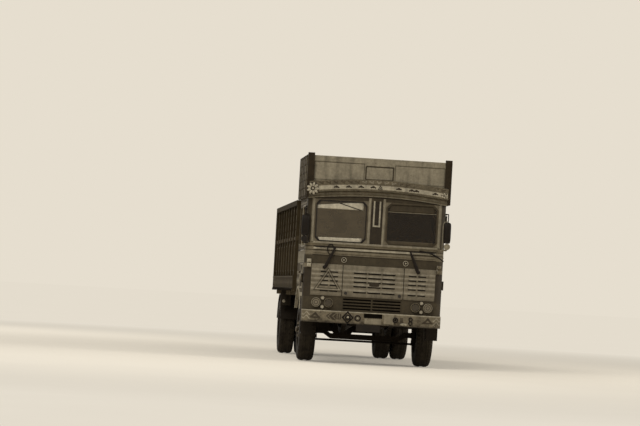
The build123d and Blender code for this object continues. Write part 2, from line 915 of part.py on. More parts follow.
# Grille: three pressed panels with rows of hooded slots, a triangular frame on the right-hand one,
# and flat bars between the headlamps
triangle_height = triangle_top_z - triangle_bottom_z
triangle_inner_radius = triangle_half_width * triangle_height / (
    triangle_half_width + math.hypot(triangle_half_width, triangle_height)
)
triangle_centre_z = triangle_bottom_z + triangle_inner_radius
bar_count = 4
bar_gap_height = 28
bar_gap_inner_x = 12
bar_gap_outer_x = 485
bar_back = 30
bar_depth = 26
bar_pitch = (lower_grille_top_z - lower_grille_bottom_z) / bar_count
grille_panel_corner = 24
hood_foot_overlap = 2
panel_tables = (
    # inner edge, outer edge, and the middles and length of the slots in each row
    (-grille_seam_x + grille_seam / 2, grille_seam_x - grille_seam / 2, (-218, 22, 262), 222),
    (grille_seam_x + grille_seam / 2, grille_half_width, (658, 820), 138),
    (-grille_half_width, -grille_seam_x - grille_seam / 2, (-820, -658), 138),
)
with BuildPart() as grille:
    for x0, x1, slot_middles, slot_length in panel_tables:
        with BuildSketch(front_plane(cab_front_y)):
            rectangle(x0, x1, grille_bottom_z, grille_top_z)
            fillet(vertices(), grille_panel_corner)
        extrude(amount=grille_thickness)
        slot_places = [(x, z) for x in slot_middles for z in slot_rows_z]
        with BuildSketch(front_plane(cab_front_y)):
            with Locations(*slot_places):
                SlotOverall(slot_length, slot_height)
        extrude(amount=grille_thickness, mode=Mode.SUBTRACT)
        for x in slot_middles:
            with BuildSketch(side_plane(x - slot_length / 2 + slot_height / 2)):
                for z in slot_rows_z:
                    hood_y = cab_front_y - grille_thickness
                    with BuildLine():
                        Polyline(
                            (hood_y, z + slot_height / 2 - hood_foot_overlap),
                            (hood_y, z + slot_height / 2 + hood_height),
                            (hood_y - hood_depth, z + slot_height / 2 - hood_foot_overlap),
                            close=True,
                        )
                    make_face()
            extrude(amount=slot_length - slot_height)
    with BuildSketch(front_plane(cab_front_y - grille_thickness)):
        for scale, mode in ((1, Mode.ADD), (1 - triangle_bar / triangle_inner_radius, Mode.SUBTRACT)):
            foot_z = triangle_centre_z - triangle_inner_radius * scale
            with BuildLine() as outline:
                Polyline(
                    (triangle_x - triangle_half_width * scale, foot_z),
                    (triangle_x + triangle_half_width * scale, foot_z),
                    (triangle_x, triangle_centre_z + (triangle_top_z - triangle_centre_z) * scale),
                    close=True,
                )
            make_face(outline.edges(), mode=mode)
    extrude(amount=triangle_proud)
    with BuildSketch(front_plane(cab_front_y + bar_back)):
        rectangle(
            -lower_grille_half_width, lower_grille_half_width, lower_grille_bottom_z, lower_grille_top_z
        )
        for index in range(bar_count):
            gap_z = lower_grille_bottom_z + (index + 0.5) * bar_pitch
            for sign in (-1, 1):
                rectangle(
                    sign * bar_gap_inner_x, sign * bar_gap_outer_x,
                    gap_z - bar_gap_height / 2, gap_z + bar_gap_height / 2,
                    mode=Mode.SUBTRACT,
                )
    extrude(amount=bar_depth)
grille.part.label = "grilles"
export_step(grille.part, "parts/grilles.step")

# Lamps: twin headlamps with two small lamps between them on each side
lamp_places = [(sign * x, headlamp_z) for sign in (-1, 1) for x in headlamp_x]
with BuildPart() as headlamps:
    with BuildSketch(front_plane(cab_front_y)):
        with Locations(*lamp_places):
            Circle(headlamp_radius)
    extrude(amount=lamp_hood_depth)
    with BuildSketch(front_plane(lamp_bowl_y)):
        with Locations(*lamp_places):
            Circle(lens_radius)
    extrude(amount=lamp_bowl_depth, mode=Mode.SUBTRACT)
headlamps.part.label = "headlamps"
export_step(headlamps.part, "parts/headlamps.step")

lens_edge_round = 10
small_places = [(sign * small_lamp_x, z) for sign in (-1, 1) for z in small_lamp_z]
rear_lamp_places = [
    (sign * x, lamp_bar_z + lamp_bar_height / 2) for sign in (-1, 1) for x in rear_lamp_x
]
with BuildPart() as lenses:
    with BuildSketch(front_plane(lamp_bowl_y)):
        with Locations(*lamp_places):
            Circle(lens_radius)
    extrude(amount=lens_depth)
    fillet(lenses.faces().filter_by(Axis.Y).group_by(Axis.Y)[0].edges(), lens_edge_round)
    with BuildSketch(front_plane(cab_front_y)):
        with Locations(*small_places):
            Circle(small_lamp_radius)
    extrude(amount=small_lamp_depth)
    with BuildSketch(front_plane(cab_front_y - grille_thickness)):
        with Locations((-reflector_x, reflector_z), (reflector_x, reflector_z)):
            Circle(reflector_radius)
    extrude(amount=grille_thickness)
    with BuildSketch(front_plane(rear_bar_face_y)):
        with Locations(*rear_lamp_places):
            Circle(rear_lamp_radius)
    extrude(amount=-rear_lamp_depth)
lenses.part.label = "lamp_lenses"
export_step(lenses.part, "parts/lamp_lenses.step")

# Bumper: a channel bent back at both ends, with brackets to the rails and two tow eyes
bumper_top_z = bumper_bottom_z + bumper_height
bumper_rear_y = bumper_face_y + bumper_return
channel_overrun = 10
bracket_rear_y = bumper_face_y + bracket_length
with BuildPart() as bumper:
    with BuildSketch(Plane.XY.offset(bumper_bottom_z)):
        rectangle(-bumper_half_width, bumper_half_width, bumper_face_y, bumper_rear_y)
        fillet([v for v in vertices() if v.Y < bumper_face_y + 1], bumper_corner)
        with BuildSketch(mode=Mode.SUBTRACT):
            rectangle(
                -bumper_half_width + bumper_depth,
                bumper_half_width - bumper_depth,
                bumper_face_y + bumper_depth,
                bumper_rear_y + channel_overrun,
            )
            fillet(
                [v for v in vertices() if v.Y < bumper_face_y + bumper_depth + 1],
                bumper_corner - bumper_depth,
            )
    extrude(amount=bumper_height)
    with BuildSketch(Plane.XY.offset(bumper_bottom_z + bumper_wall)):
        rectangle(
            -bumper_half_width + bumper_wall,
            bumper_half_width - bumper_wall,
            bumper_face_y + bumper_wall,
            bumper_rear_y + channel_overrun,
        )
        fillet(
            [v for v in vertices() if v.Y < bumper_face_y + bumper_wall + 1],
            bumper_corner - bumper_wall,
        )
    extrude(amount=bumper_height - 2 * bumper_wall, mode=Mode.SUBTRACT)
    for sign in (-1, 1):
        block(
            sign * rail_outer_x,
            sign * (rail_outer_x + bracket_thickness),
            bumper_face_y + bumper_wall,
            bracket_rear_y,
            bumper_bottom_z + bumper_wall,
            bumper_top_z - bumper_wall,
        )
    tow_places = [(sign * tow_eye_x, bumper_bottom_z + bumper_height / 2) for sign in (-1, 1)]
    with BuildSketch(front_plane(bumper_face_y)):
        with Locations(*tow_places):
            Circle(tow_eye_radius)
    extrude(amount=tow_eye_length)
    with BuildSketch(front_plane(bumper_face_y + bumper_wall)):
        with Locations(*tow_places):
            Circle(tow_bore_radius)
    extrude(amount=tow_eye_length + bumper_wall, mode=Mode.SUBTRACT)
    with BuildSketch(front_plane(bumper_face_y + bumper_wall)):
        rectangle(
            plate_x - plate_width / 2, plate_x + plate_width / 2,
            bumper_bottom_z - plate_height, bumper_bottom_z,
        )
        for sign in (-1, 1):
            with Locations((plate_x + sign * plate_bolt_spacing / 2, bumper_bottom_z - plate_height / 2)):
                Circle(plate_bolt_radius, mode=Mode.SUBTRACT)
    extrude(amount=bumper_wall)
    block(
        *crank_hole_x, bumper_face_y - 1, bumper_face_y + bumper_wall + 1, *crank_hole_z,
        mode=Mode.SUBTRACT,
    )
bumper.part.label = "front_bumper"
export_step(bumper.part, "parts/front_bumper.step")

# Cab sides: sill, roof rail and rear quarter round the door, with the wheel arch and its lip
with BuildPart() as cab_sides:
    for _, sign in sides:
        with BuildSketch(side_plane(sign * cab_inner_x)):
            rectangle(door_front_y, cab_rear_y, cab_bottom_z, cab_top_z)
            rectangle(door_front_y, door_rear_y, door_bottom_z - door_gap, door_top_z + door_gap,
                      mode=Mode.SUBTRACT)
            with Locations((front_axle_y, axle_z)):
                Circle(arch_radius, mode=Mode.SUBTRACT)
            rectangle(*quarter_window_y, door_window_bottom_z, door_window_top_z, mode=Mode.SUBTRACT)
        extrude(amount=sign * cab_wall)
        with BuildSketch(side_plane(sign * cab_inner_x)):
            with Locations((front_axle_y, axle_z)):
                Circle(arch_radius + arch_lip)
                Circle(arch_radius, mode=Mode.SUBTRACT)
            rectangle(
                front_axle_y - arch_cut_reach, front_axle_y + arch_cut_reach,
                axle_z - arch_cut_reach, cab_bottom_z, mode=Mode.SUBTRACT,
            )
        extrude(amount=sign * (cab_wall + arch_lip_proud))
cab_sides.part.label = "cab_sides"
export_step(cab_sides.part, "parts/cab_sides.step")

for name, sign in sides:
    # Door, hinged at its front edge on two upright pins
    hinge_x = cab_half_width + hinge_offset
    hinge_y = door_front_y + door_gap / 2
    window_y = (door_front_y + door_gap + door_window_margin, door_rear_y - door_gap - door_window_margin)
    with BuildPart() as door:
        with BuildSketch(side_plane(sign * (cab_half_width - door_thickness))):
            rectangle(door_front_y + door_gap, door_rear_y - door_gap, door_bottom_z, door_top_z)
            with Locations((front_axle_y, axle_z)):
                Circle(arch_radius + arch_lip + arch_gap, mode=Mode.SUBTRACT)
            rectangle(*window_y, door_window_bottom_z, door_window_top_z, mode=Mode.SUBTRACT)
        extrude(amount=sign * door_thickness)
        for z in door_hinge_z:
            block(
                sign * cab_half_width, sign * hinge_x,
                door_front_y + door_gap, door_front_y + door_gap + hinge_leaf,
                z - hinge_length / 2, z + hinge_length / 2,
            )
            with Locations((sign * hinge_x, hinge_y, z)):
                Cylinder(hinge_radius, hinge_length)
                Cylinder(hinge_pin_radius + fit_clearance, hinge_length, mode=Mode.SUBTRACT)
        handle_y = door_rear_y - door_gap - handle_length / 2 - door_window_margin / 4
        for end in (-1, 1):
            end_y = handle_y + end * (handle_length - handle_bar) / 2
            block(
                sign * cab_half_width, sign * (cab_half_width + handle_reach),
                end_y - handle_bar / 2, end_y + handle_bar / 2,
                handle_z - handle_height / 2, handle_z + handle_height / 2,
            )
        block(
            sign * (cab_half_width + handle_reach - handle_bar), sign * (cab_half_width + handle_reach),
            handle_y - handle_length / 2, handle_y + handle_length / 2,
            handle_z - handle_height / 2, handle_z + handle_height / 2,
        )
    door.part.label = f"door_{name}"
    export_step(door.part, f"parts/door_{name}.step")

    with BuildPart() as door_glass:
        with BuildSketch(side_plane(sign * (cab_half_width - door_thickness + glass_inset))):
            rectangle(*window_y, door_window_bottom_z, door_window_top_z)
        extrude(amount=sign * glass_thickness)
    door_glass.part.label = f"door_glass_{name}"
    export_step(door_glass.part, f"parts/door_glass_{name}.step")

# Hinge brackets on the corner posts and the cargo floor, with the pins that doors and tailgate turn on
with BuildPart() as door_hinges:
    for _, sign in sides:
        for z in door_hinge_z:
            for ear in (-1, 1):
                ear_z = z + ear * (hinge_length / 2 + ear_length / 2 + rest_gap)
                block(
                    sign * cab_half_width, sign * hinge_x,
                    door_front_y - hinge_leaf, door_front_y - 2,
                    ear_z - ear_length / 2, ear_z + ear_length / 2,
                )
                with Locations((sign * hinge_x, hinge_y, ear_z)):
                    Cylinder(hinge_radius, ear_length)
            with Locations((sign * hinge_x, hinge_y, z)):
                Cylinder(hinge_pin_radius, hinge_length + ear_length)
    for x in tail_hinge_x:
        for ear in (-1, 1):
            ear_x = x + ear * (tail_hinge_length / 2 + ear_length / 2 + rest_gap)
            block(
                ear_x - ear_length / 2, ear_x + ear_length / 2, cargo_rear_y, tail_hinge_y,
                cargo_floor_z - tail_hinge_leaf, cargo_floor_z,
            )
            with Locations(Location((ear_x, tail_hinge_y, tail_hinge_axis_z), (0, 90, 0))):
                Cylinder(tail_hinge_radius, ear_length)
        with Locations(Location((x, tail_hinge_y, tail_hinge_axis_z), (0, 90, 0))):
            Cylinder(tail_hinge_pin_radius, tail_hinge_length + ear_length)
door_hinges.part.label = "hinges"
export_step(door_hinges.part, "parts/hinges.step")

# Cab back, roof, and floor with the engine cover, wheel housings and seat boxes
seat_front_y = front_axle_y - 330
seat_rear_y = front_axle_y + 190
seat_bottom_z = 1560
seat_top_z = 1700
seat_back_top_z = 2250
seat_back_depth = 120
seat_tables = (
    # inner x, outer x: the driver's seat on the right, the helper's bench on the left
    (-440, -920),
    (440, 1080),
)
bunk_bottom_z = 1600
bunk_top_z = 1720
bunk_back_top_z = 2200
bunk_back_depth = 90
bunk_front_y = seat_rear_y + 40
with BuildPart() as cab_back:
    with BuildSketch(front_plane(cab_rear_y)):
        rectangle(-cab_inner_x, cab_inner_x, cab_floor_z, cab_top_z)
        with BuildLine() as outline:
            ThreePointArc(
                (-cab_half_width, cab_top_z), (0, cab_top_z + roof_rise), (cab_half_width, cab_top_z)
            )
            Line((cab_half_width, cab_top_z), (-cab_half_width, cab_top_z))
        make_face(outline.edges())
        rectangle(-cab_half_width, -cab_inner_x, cab_floor_z, cab_top_z + roof_rise, mode=Mode.SUBTRACT)
        rectangle(cab_inner_x, cab_half_width, cab_floor_z, cab_top_z + roof_rise, mode=Mode.SUBTRACT)
    extrude(amount=cab_wall)
cab_back.part.label = "cab_back"
export_step(cab_back.part, "parts/cab_back.step")

engine_cover_half_width = 360
cover_rise = 60
cover_rear_y = engine_rear_y + cover_rise
cover_front_y = radiator_y + radiator_depth + 2
cover_wall = 20
wheelhouse_inner_x = 545
wheelhouse_wall = 10
floor_pad_width = 50
floor_pad_length = 200
floor_pad_reach = 480
seat_box_inset = 30
with BuildPart() as cab_floor:
    block(
        -cab_inner_x, cab_inner_x, cover_front_y, cab_rear_y,
        cab_floor_z - cab_floor_thickness, cab_floor_z,
    )
    block(
        -engine_cover_half_width + cover_wall, engine_cover_half_width - cover_wall,
        cover_front_y, cover_rear_y - cover_wall,
        cab_floor_z - cab_floor_thickness, cab_floor_z, mode=Mode.SUBTRACT,
    )
    for pad_y in (cover_front_y, front_axle_y + floor_pad_reach):
        for sign in (-1, 1):
            block(
                sign * (rail_outer_x - floor_pad_width), sign * rail_outer_x,
                pad_y, min(pad_y + floor_pad_length, cab_rear_y),
                rail_top_z, cab_floor_z - cab_floor_thickness,
            )
    for sign in (-1, 1):
        with BuildSketch(side_plane(sign * wheelhouse_inner_x)):
            with Locations((front_axle_y, axle_z)):
                Circle(arch_radius)
        extrude(amount=sign * cab_half_width, mode=Mode.SUBTRACT)
        with BuildSketch(side_plane(sign * wheelhouse_inner_x)):
            with Locations((front_axle_y, axle_z)):
                Circle(arch_radius)
                Circle(arch_radius - wheelhouse_wall, mode=Mode.SUBTRACT)
            rectangle(
                front_axle_y - arch_radius, front_axle_y + arch_radius,
                axle_z - arch_radius, cab_bottom_z, mode=Mode.SUBTRACT,
            )
        extrude(amount=sign * (cab_inner_x - wheelhouse_inner_x))
        with BuildSketch(side_plane(sign * (wheelhouse_inner_x - wheelhouse_wall))):
            with Locations((front_axle_y, axle_z)):
                Circle(arch_radius)
            rectangle(
                front_axle_y - arch_radius, front_axle_y + arch_radius, axle_z - arch_radius,
                cab_floor_z - cab_floor_thickness, mode=Mode.SUBTRACT,
            )
        extrude(amount=sign * wheelhouse_wall)
    block(
        -engine_cover_half_width, engine_cover_half_width, cover_front_y, cover_rear_y,
        cab_floor_z, engine_top_z + cover_rise,
    )
    block(
        -engine_cover_half_width + cover_wall, engine_cover_half_width - cover_wall,
        cover_front_y - 1, cover_rear_y - cover_wall,
        cab_floor_z, engine_top_z + cover_rise - cover_wall, mode=Mode.SUBTRACT,
    )
    for inner_x, outer_x in seat_tables:
        inset = math.copysign(seat_box_inset, outer_x)
        block(
            inner_x + inset, outer_x - inset,
            seat_front_y + seat_box_inset, seat_rear_y - seat_box_inset,
            axle_z + arch_radius - 2, seat_bottom_z,
        )
    block(
        -wheelhouse_inner_x + seat_box_inset, wheelhouse_inner_x - seat_box_inset,
        bunk_front_y + seat_box_inset, bunk_front_y + 2 * seat_box_inset,
        cab_floor_z, bunk_bottom_z,
    )
cab_floor.part.label = "cab_floor"
export_step(cab_floor.part, "parts/cab_floor.step")

with BuildPart() as cab_roof:
    with BuildSketch(front_plane(cab_rear_y)):
        with BuildLine():
            ThreePointArc(
                (-cab_half_width, cab_top_z), (0, cab_top_z + roof_rise), (cab_half_width, cab_top_z)
            )
            Polyline(
                (cab_half_width, cab_top_z),
                (cab_half_width, cab_top_z + roof_thickness),
            )
            ThreePointArc(
                (cab_half_width, cab_top_z + roof_thickness),
                (0, cab_top_z + roof_rise + roof_thickness),
                (-cab_half_width, cab_top_z + roof_thickness),
            )
            Line((-cab_half_width, cab_top_z + roof_thickness), (-cab_half_width, cab_top_z))
        make_face()
    extrude(amount=cab_length)
cab_roof.part.label = "cab_roof"
export_step(cab_roof.part, "parts/cab_roof.step")

# Dashboard, and the steering wheel on its column on the right-hand side
dash_y = cab_front_y + cab_wall
dash_half_width = cab_half_width - cab_corner_radius
dash_profile = (
    # depth behind the cab front, height above the ground
    (0, 1660), (0, 2000), (120, 2010), (260, 1940), (250, 1780), (120, 1700),
)
steering_x = -640
column_radius = 28
wheel_ring_radius = 235
wheel_grip_radius = 14
wheel_spoke_width = 34
wheel_boss_radius = 60
steering_wheel_setback = 520
steering_wheel_z = 2010
column_foot_setback = 290
wheel_centre = Vector(steering_x, cab_front_y + steering_wheel_setback, steering_wheel_z)
column_foot = Vector(steering_x, cab_front_y + column_foot_setback, cab_floor_z)
column_direction = wheel_centre - column_foot
with BuildPart() as dashboard:
    with BuildSketch(side_plane(-dash_half_width)):
        with BuildLine():
            Polyline(*[(dash_y + depth, z) for depth, z in dash_profile], close=True)
        make_face()
    extrude(amount=2 * dash_half_width)
    with BuildSketch(Plane(origin=column_foot, z_dir=column_direction)):
        Circle(column_radius)
    extrude(amount=column_direction.length)
    wheel_face = Plane(origin=wheel_centre, x_dir=(1, 0, 0), z_dir=column_direction)
    with BuildSketch(Plane(origin=wheel_centre, x_dir=wheel_face.x_dir, z_dir=wheel_face.y_dir)):
        with Locations((wheel_ring_radius, 0)):
            Circle(wheel_grip_radius)
    revolve(axis=Axis(wheel_centre, column_direction))
    with BuildSketch(wheel_face.offset(-wheel_grip_radius / 2)):
        Rectangle(2 * wheel_ring_radius - wheel_grip_radius, wheel_spoke_width)
        Rectangle(wheel_spoke_width, 2 * wheel_ring_radius - wheel_grip_radius)
        Circle(wheel_boss_radius)
    extrude(amount=wheel_grip_radius)
    block(
        -cab_inner_x, cab_inner_x, cab_front_y, cab_rear_y,
        cab_floor_z - 4 * column_radius, cab_floor_z, mode=Mode.SUBTRACT,
    )
dashboard.part.label = "dashboard"
export_step(dashboard.part, "parts/dashboard.step")

# Seats: driver's seat, helper's bench and a bunk across the cab back
bunk_rear_y = cab_rear_y - cab_wall
with BuildPart() as seats:
    for inner_x, outer_x in seat_tables:
        block(inner_x, outer_x, seat_front_y, seat_rear_y, seat_bottom_z, seat_top_z)
        block(
            inner_x, outer_x, seat_rear_y - seat_back_depth, seat_rear_y, seat_top_z, seat_back_top_z
        )
    fillet(seats.edges().filter_by(Axis.X).group_by(Axis.Z)[-1], seat_back_depth / 3)
    block(-cab_inner_x, cab_inner_x, bunk_front_y, bunk_rear_y, bunk_bottom_z, bunk_top_z)
    block(
        -cab_inner_x, cab_inner_x, bunk_rear_y - bunk_back_depth, bunk_rear_y, bunk_top_z, bunk_back_top_z
    )
seats.part.label = "seats"
export_step(seats.part, "parts/seats.step")

# Wipers, each a spindle on the upper grille, an arm and a blade, and mirrors on tubular loops
wiper_tables = (
    # spindle x, arm top x, blade from and to
    (-834, -657, -1000),
    (750, 587, 1000),
)
mirror_x = 1200
mirror_y = cab_front_y - 60
mirror_z = 2286
mirror_arm_z = (2000, 2600)
mirror_width = 72
mirror_height = 330
mirror_depth = 60
mirror_corner = 20
round_mirror_z = 2055
round_mirror_radius = 52
mirror_tube_radius = 9
mirror_foot_x = cab_half_width + 12
mirror_foot_y = cab_front_y + 140
mirror_foot_half = 14
wiper_spindle_z = 1600
wiper_spindle_radius = 22
wiper_spindle_length = 34
wiper_arm_width = 22
wiper_arm_depth = 10
wiper_blade_height = 16
wiper_top_z = 1935
wiper_y = cab_front_y - grille_thickness
with BuildPart() as wipers:
    for spindle_x, top_x, blade_x in wiper_tables:
        with BuildSketch(front_plane(wiper_y)):
            with Locations((spindle_x, wiper_spindle_z)):
                Circle(wiper_spindle_radius)
        extrude(amount=wiper_spindle_length)
        with BuildSketch(front_plane(wiper_y - wiper_spindle_radius)):
            with BuildLine():
                Polyline(
                    (spindle_x - wiper_arm_width / 2, wiper_spindle_z),
                    (spindle_x + wiper_arm_width / 2, wiper_spindle_z),
                    (top_x + wiper_arm_width / 4, wiper_top_z),
                    (top_x - wiper_arm_width / 4, wiper_top_z),
                    close=True,
                )
            make_face()
            rectangle(
                top_x, blade_x, wiper_top_z - wiper_blade_height / 2, wiper_top_z + wiper_blade_height / 2
            )
        extrude(amount=wiper_arm_depth)
    for sign in (-1, 1):
        with BuildLine():
            FilletPolyline(
                (sign * mirror_foot_x, mirror_foot_y, mirror_arm_z[1]),
                (sign * mirror_x, mirror_y, mirror_arm_z[1]),
                (sign * mirror_x, mirror_y, mirror_arm_z[0]),
                (sign * mirror_foot_x, mirror_foot_y, mirror_arm_z[0]),
                radius=3 * mirror_tube_radius,
            )
        with BuildSketch(
            Plane(
                origin=(sign * mirror_foot_x, mirror_foot_y, mirror_arm_z[1]),
                z_dir=(sign * (mirror_x - mirror_foot_x), mirror_y - mirror_foot_y, 0),
            )
        ):
            Circle(mirror_tube_radius)
        sweep()
        for z in mirror_arm_z:
            block(
                sign * cab_half_width, sign * (mirror_foot_x + mirror_tube_radius),
                mirror_foot_y - mirror_foot_half, mirror_foot_y + mirror_foot_half,
                z - mirror_foot_half, z + mirror_foot_half,
            )
        with BuildSketch(front_plane(mirror_y + mirror_depth / 2)):
            with Locations((sign * mirror_x, mirror_z)):
                RectangleRounded(mirror_width, mirror_height, mirror_corner)
        extrude(amount=mirror_depth)
        with BuildSketch(front_plane(mirror_y + mirror_depth / 4)):
            with Locations((sign * mirror_x, round_mirror_z)):
                Circle(round_mirror_radius)
        extrude(amount=mirror_depth / 2)
wipers.part.label = "mirrors_and_wipers"
export_step(wipers.part, "parts/mirrors_and_wipers.step")

# Arched brow over the windscreens: a pale fascia with an ornamented moulding above it
def arched_band(low_z, high_z, sag, half_width, mode=Mode.ADD):
    """Band between two arcs that are higher in the middle by sag."""
    with BuildLine() as outline:
        ThreePointArc((-half_width, low_z - sag), (0, low_z), (half_width, low_z - sag))
        Line((half_width, low_z - sag), (half_width, high_z - sag))
        ThreePointArc((half_width, high_z - sag), (0, high_z), (-half_width, high_z - sag))
        Line((-half_width, high_z - sag), (-half_width, low_z - sag))
    make_face(outline.edges(), mode=mode)


with BuildPart() as brow:
    with BuildSketch(front_plane(cab_front_y)):
        arched_band(brow_shelf_z, brow_top_z, brow_sag, cab_half_width)
    extrude(amount=brow_depth)
    with BuildSketch(front_plane(cab_front_y)):
        arched_band(brow_bottom_z, brow_shelf_z, brow_sag, cab_half_width)
    extrude(amount=brow_moulding_depth)
    with BuildSketch(front_plane(cab_front_y - brow_depth)):
        arched_band(
            brow_shelf_z + fascia_edge, brow_top_z - fascia_edge, brow_sag, cab_half_width - fascia_edge
        )
    extrude(amount=fascia_proud)
    with BuildSketch(front_plane(board_face_y - board_frame_proud)):
        arched_band(brow_top_z, brow_top_z + brow_moulding_height, brow_sag, cab_half_width)
    extrude(amount=brow_moulding_depth)
brow.part.label = "brow"
export_step(brow.part, "parts/brow.step")

# Roof carrier: boarded box over the cab, open on top, with a post at each front corner
carrier_front_y = cab_front_y - 120
carrier_floor_front_y = cab_front_y + 60
carrier_floor_z = cab_top_z + roof_rise + roof_thickness + 20
carrier_floor_thickness = 30
carrier_beam_x = 700
carrier_beam_width = 50
with BuildPart() as carrier:
    for sign in (-1, 1):
        block(
            sign * carrier_half_width, sign * (carrier_half_width - carrier_wall),
            carrier_front_y, cab_rear_y, carrier_bottom_z, carrier_top_z,
        )
        block(
            sign * carrier_half_width, sign * (carrier_half_width - carrier_post_width),
            carrier_front_y, carrier_front_y + carrier_post_depth,
            brow_top_z + rest_gap, carrier_top_z + carrier_wall,
        )
    block(
        -carrier_half_width, carrier_half_width, carrier_floor_front_y, cab_rear_y,
        carrier_floor_z, carrier_floor_z + carrier_floor_thickness,
    )
    for beam_x in (-carrier_beam_x, 0, carrier_beam_x):
        block(
            beam_x - carrier_beam_width / 2, beam_x + carrier_beam_width / 2,
            carrier_floor_front_y, cab_rear_y,
            cab_top_z + roof_thickness, carrier_floor_z,
        )
    block(
        -carrier_half_width, carrier_half_width, cab_rear_y - carrier_wall, cab_rear_y,
        carrier_floor_z + carrier_floor_thickness, carrier_top_z,
    )
    with BuildSketch(front_plane(cab_rear_y)):
        with BuildLine():
            ThreePointArc(
                (-cab_half_width, cab_top_z + roof_thickness),
                (0, cab_top_z + roof_rise + roof_thickness),
                (cab_half_width, cab_top_z + roof_thickness),
            )
            Polyline(
                (cab_half_width, cab_top_z + roof_thickness),
                (cab_half_width, carrier_bottom_z),
                (-cab_half_width, carrier_bottom_z),
                (-cab_half_width, cab_top_z + roof_thickness),
            )
        make_face()
    extrude(amount=cab_rear_y - carrier_front_y, mode=Mode.SUBTRACT)
carrier.part.label = "roof_carrier"
export_step(carrier.part, "parts/roof_carrier.step")

# Sign board across the carrier's front, framed, with two blank boards and a small centre panel
board_inner_half_width = carrier_half_width - carrier_post_width
board_spans = ((-board_half_width, -board_inner_x), (board_inner_x, board_half_width))
with BuildPart() as sign_board:
    with BuildSketch(front_plane(board_face_y + board_thickness)):
        rectangle(-board_inner_half_width, board_inner_half_width, brow_shelf_z, carrier_top_z)
        arched_band(
            brow_bottom_z - board_height, brow_top_z, brow_sag, carrier_half_width, mode=Mode.SUBTRACT
        )
    extrude(amount=board_thickness)
    with BuildSketch(front_plane(board_face_y)):
        rectangle(-board_inner_half_width, board_inner_half_width, board_bottom_z, carrier_top_z)
        for x0, x1 in board_spans:
            rectangle(
                x0, x1, board_bottom_z + board_frame_bar, board_top_z - board_frame_bar, mode=Mode.SUBTRACT
            )
        rectangle(
            -centre_panel_half_width, centre_panel_half_width,
            board_bottom_z + centre_panel_edge, board_top_z - centre_panel_edge,
            mode=Mode.SUBTRACT,
        )
    extrude(amount=board_frame_proud)
    with BuildSketch(front_plane(board_face_y)):
        for x0, x1 in board_spans:
            rectangle(x0, x1, board_bottom_z + board_frame_bar, board_top_z - board_frame_bar)
        rectangle(
            -centre_panel_half_width, centre_panel_half_width,
            board_bottom_z + centre_panel_edge, board_top_z - centre_panel_edge,
        )
    extrude(amount=board_panel_proud)
sign_board.part.label = "sign_board"
export_step(sign_board.part, "parts/sign_board.step")

# Cargo body: a floor on two long runners, with a raised deck where the load lies
bearer_top_z = cargo_floor_z - cargo_floor_thickness
runner_top_z = bearer_top_z - bearer_height
bearer_count = 13
bearer_pitch = (cargo_rear_y - cargo_front_y - bearer_width) / (bearer_count - 1)
with BuildPart() as cargo_floor:
    for sign in (-1, 1):
        block(
            sign * rail_outer_x, sign * (rail_outer_x - rail_flange),
            cargo_front_y, rail_rear_y, rail_top_z, runner_top_z,
        )
    block(
        -cargo_half_width, cargo_half_width, cargo_front_y, cargo_rear_y, bearer_top_z, cargo_floor_z
    )
    block(
        -deck_half_width, deck_half_width,
        cargo_front_y + headboard_thickness + deck_edge, cargo_rear_y - tail_post_length - deck_edge,
        cargo_floor_z, cargo_floor_z + deck_thickness,
    )
cargo_floor.part.label = "cargo_floor"
export_step(cargo_floor.part, "parts/cargo_floor.step")

# Cross-bearers between the runners and the floor
with BuildPart() as cargo_bearers:
    for index in range(bearer_count):
        y = cargo_front_y + index * bearer_pitch
        block(-cargo_half_width, cargo_half_width, y, y + bearer_width, runner_top_z, bearer_top_z)
cargo_bearers.part.label = "cargo_bearers"
export_step(cargo_bearers.part, "parts/cargo_bearers.step")

# Boarded sides with posts and rails, and the tail posts with their door hinges
post_pitch = (cargo_rear_y - cargo_front_y - tail_post_length - post_width) / (post_count - 1)
with BuildPart() as cargo_sides:
    for _, sign in sides:
        inner_x = sign * cargo_half_width
        wall_x = sign * (cargo_half_width + cargo_wall)
        block(inner_x, wall_x, cargo_front_y, cargo_rear_y, bearer_top_z, cargo_top_z)
        block(
            inner_x, sign * (cargo_half_width + side_band_proud), cargo_front_y, cargo_rear_y,
            bearer_top_z, bearer_top_z + side_band_height,
        )
        block(
            inner_x, sign * (cargo_half_width + side_band_proud), cargo_front_y, cargo_rear_y,
            cargo_top_z - top_rail_height, cargo_top_z,
        )
        block(
            wall_x, sign * (cargo_half_width + side_rail_proud), cargo_front_y, cargo_rear_y,
            side_rail_bottom_z, side_rail_bottom_z + side_rail_height,
        )
        for index in range(post_count):
            y = cargo_front_y + index * post_pitch
            block(
                wall_x, sign * (cargo_half_width + post_proud), y, y + post_width,
                bearer_top_z + side_band_height, cargo_top_z - top_rail_height,
            )
        block(
            sign * (cargo_half_width - tail_post_inset), sign * (cargo_half_width + side_band_proud),
            cargo_rear_y - tail_post_length, cargo_rear_y, cargo_floor_z, cargo_top_z,
        )
        for z in tail_door_hinge_z:
            for ear in (-1, 1):
                ear_z = z + ear * (hinge_length / 2 + ear_length / 2 + rest_gap)
                block(
                    sign * tail_door_hinge_x, sign * cargo_half_width,
                    cargo_rear_y - hinge_radius, cargo_rear_y + tail_hinge_radius,
                    ear_z - ear_length / 2, ear_z + ear_length / 2,
                )
                with Locations(
                    (sign * tail_door_hinge_x, cargo_rear_y + tail_hinge_radius, ear_z)
                ):
                    Cylinder(hinge_radius, ear_length)
            with Locations((sign * tail_door_hinge_x, cargo_rear_y + tail_hinge_radius, z)):
                Cylinder(hinge_pin_radius, hinge_length + ear_length)
cargo_sides.part.label = "cargo_sides"
export_step(cargo_sides.part, "parts/cargo_sides.step")

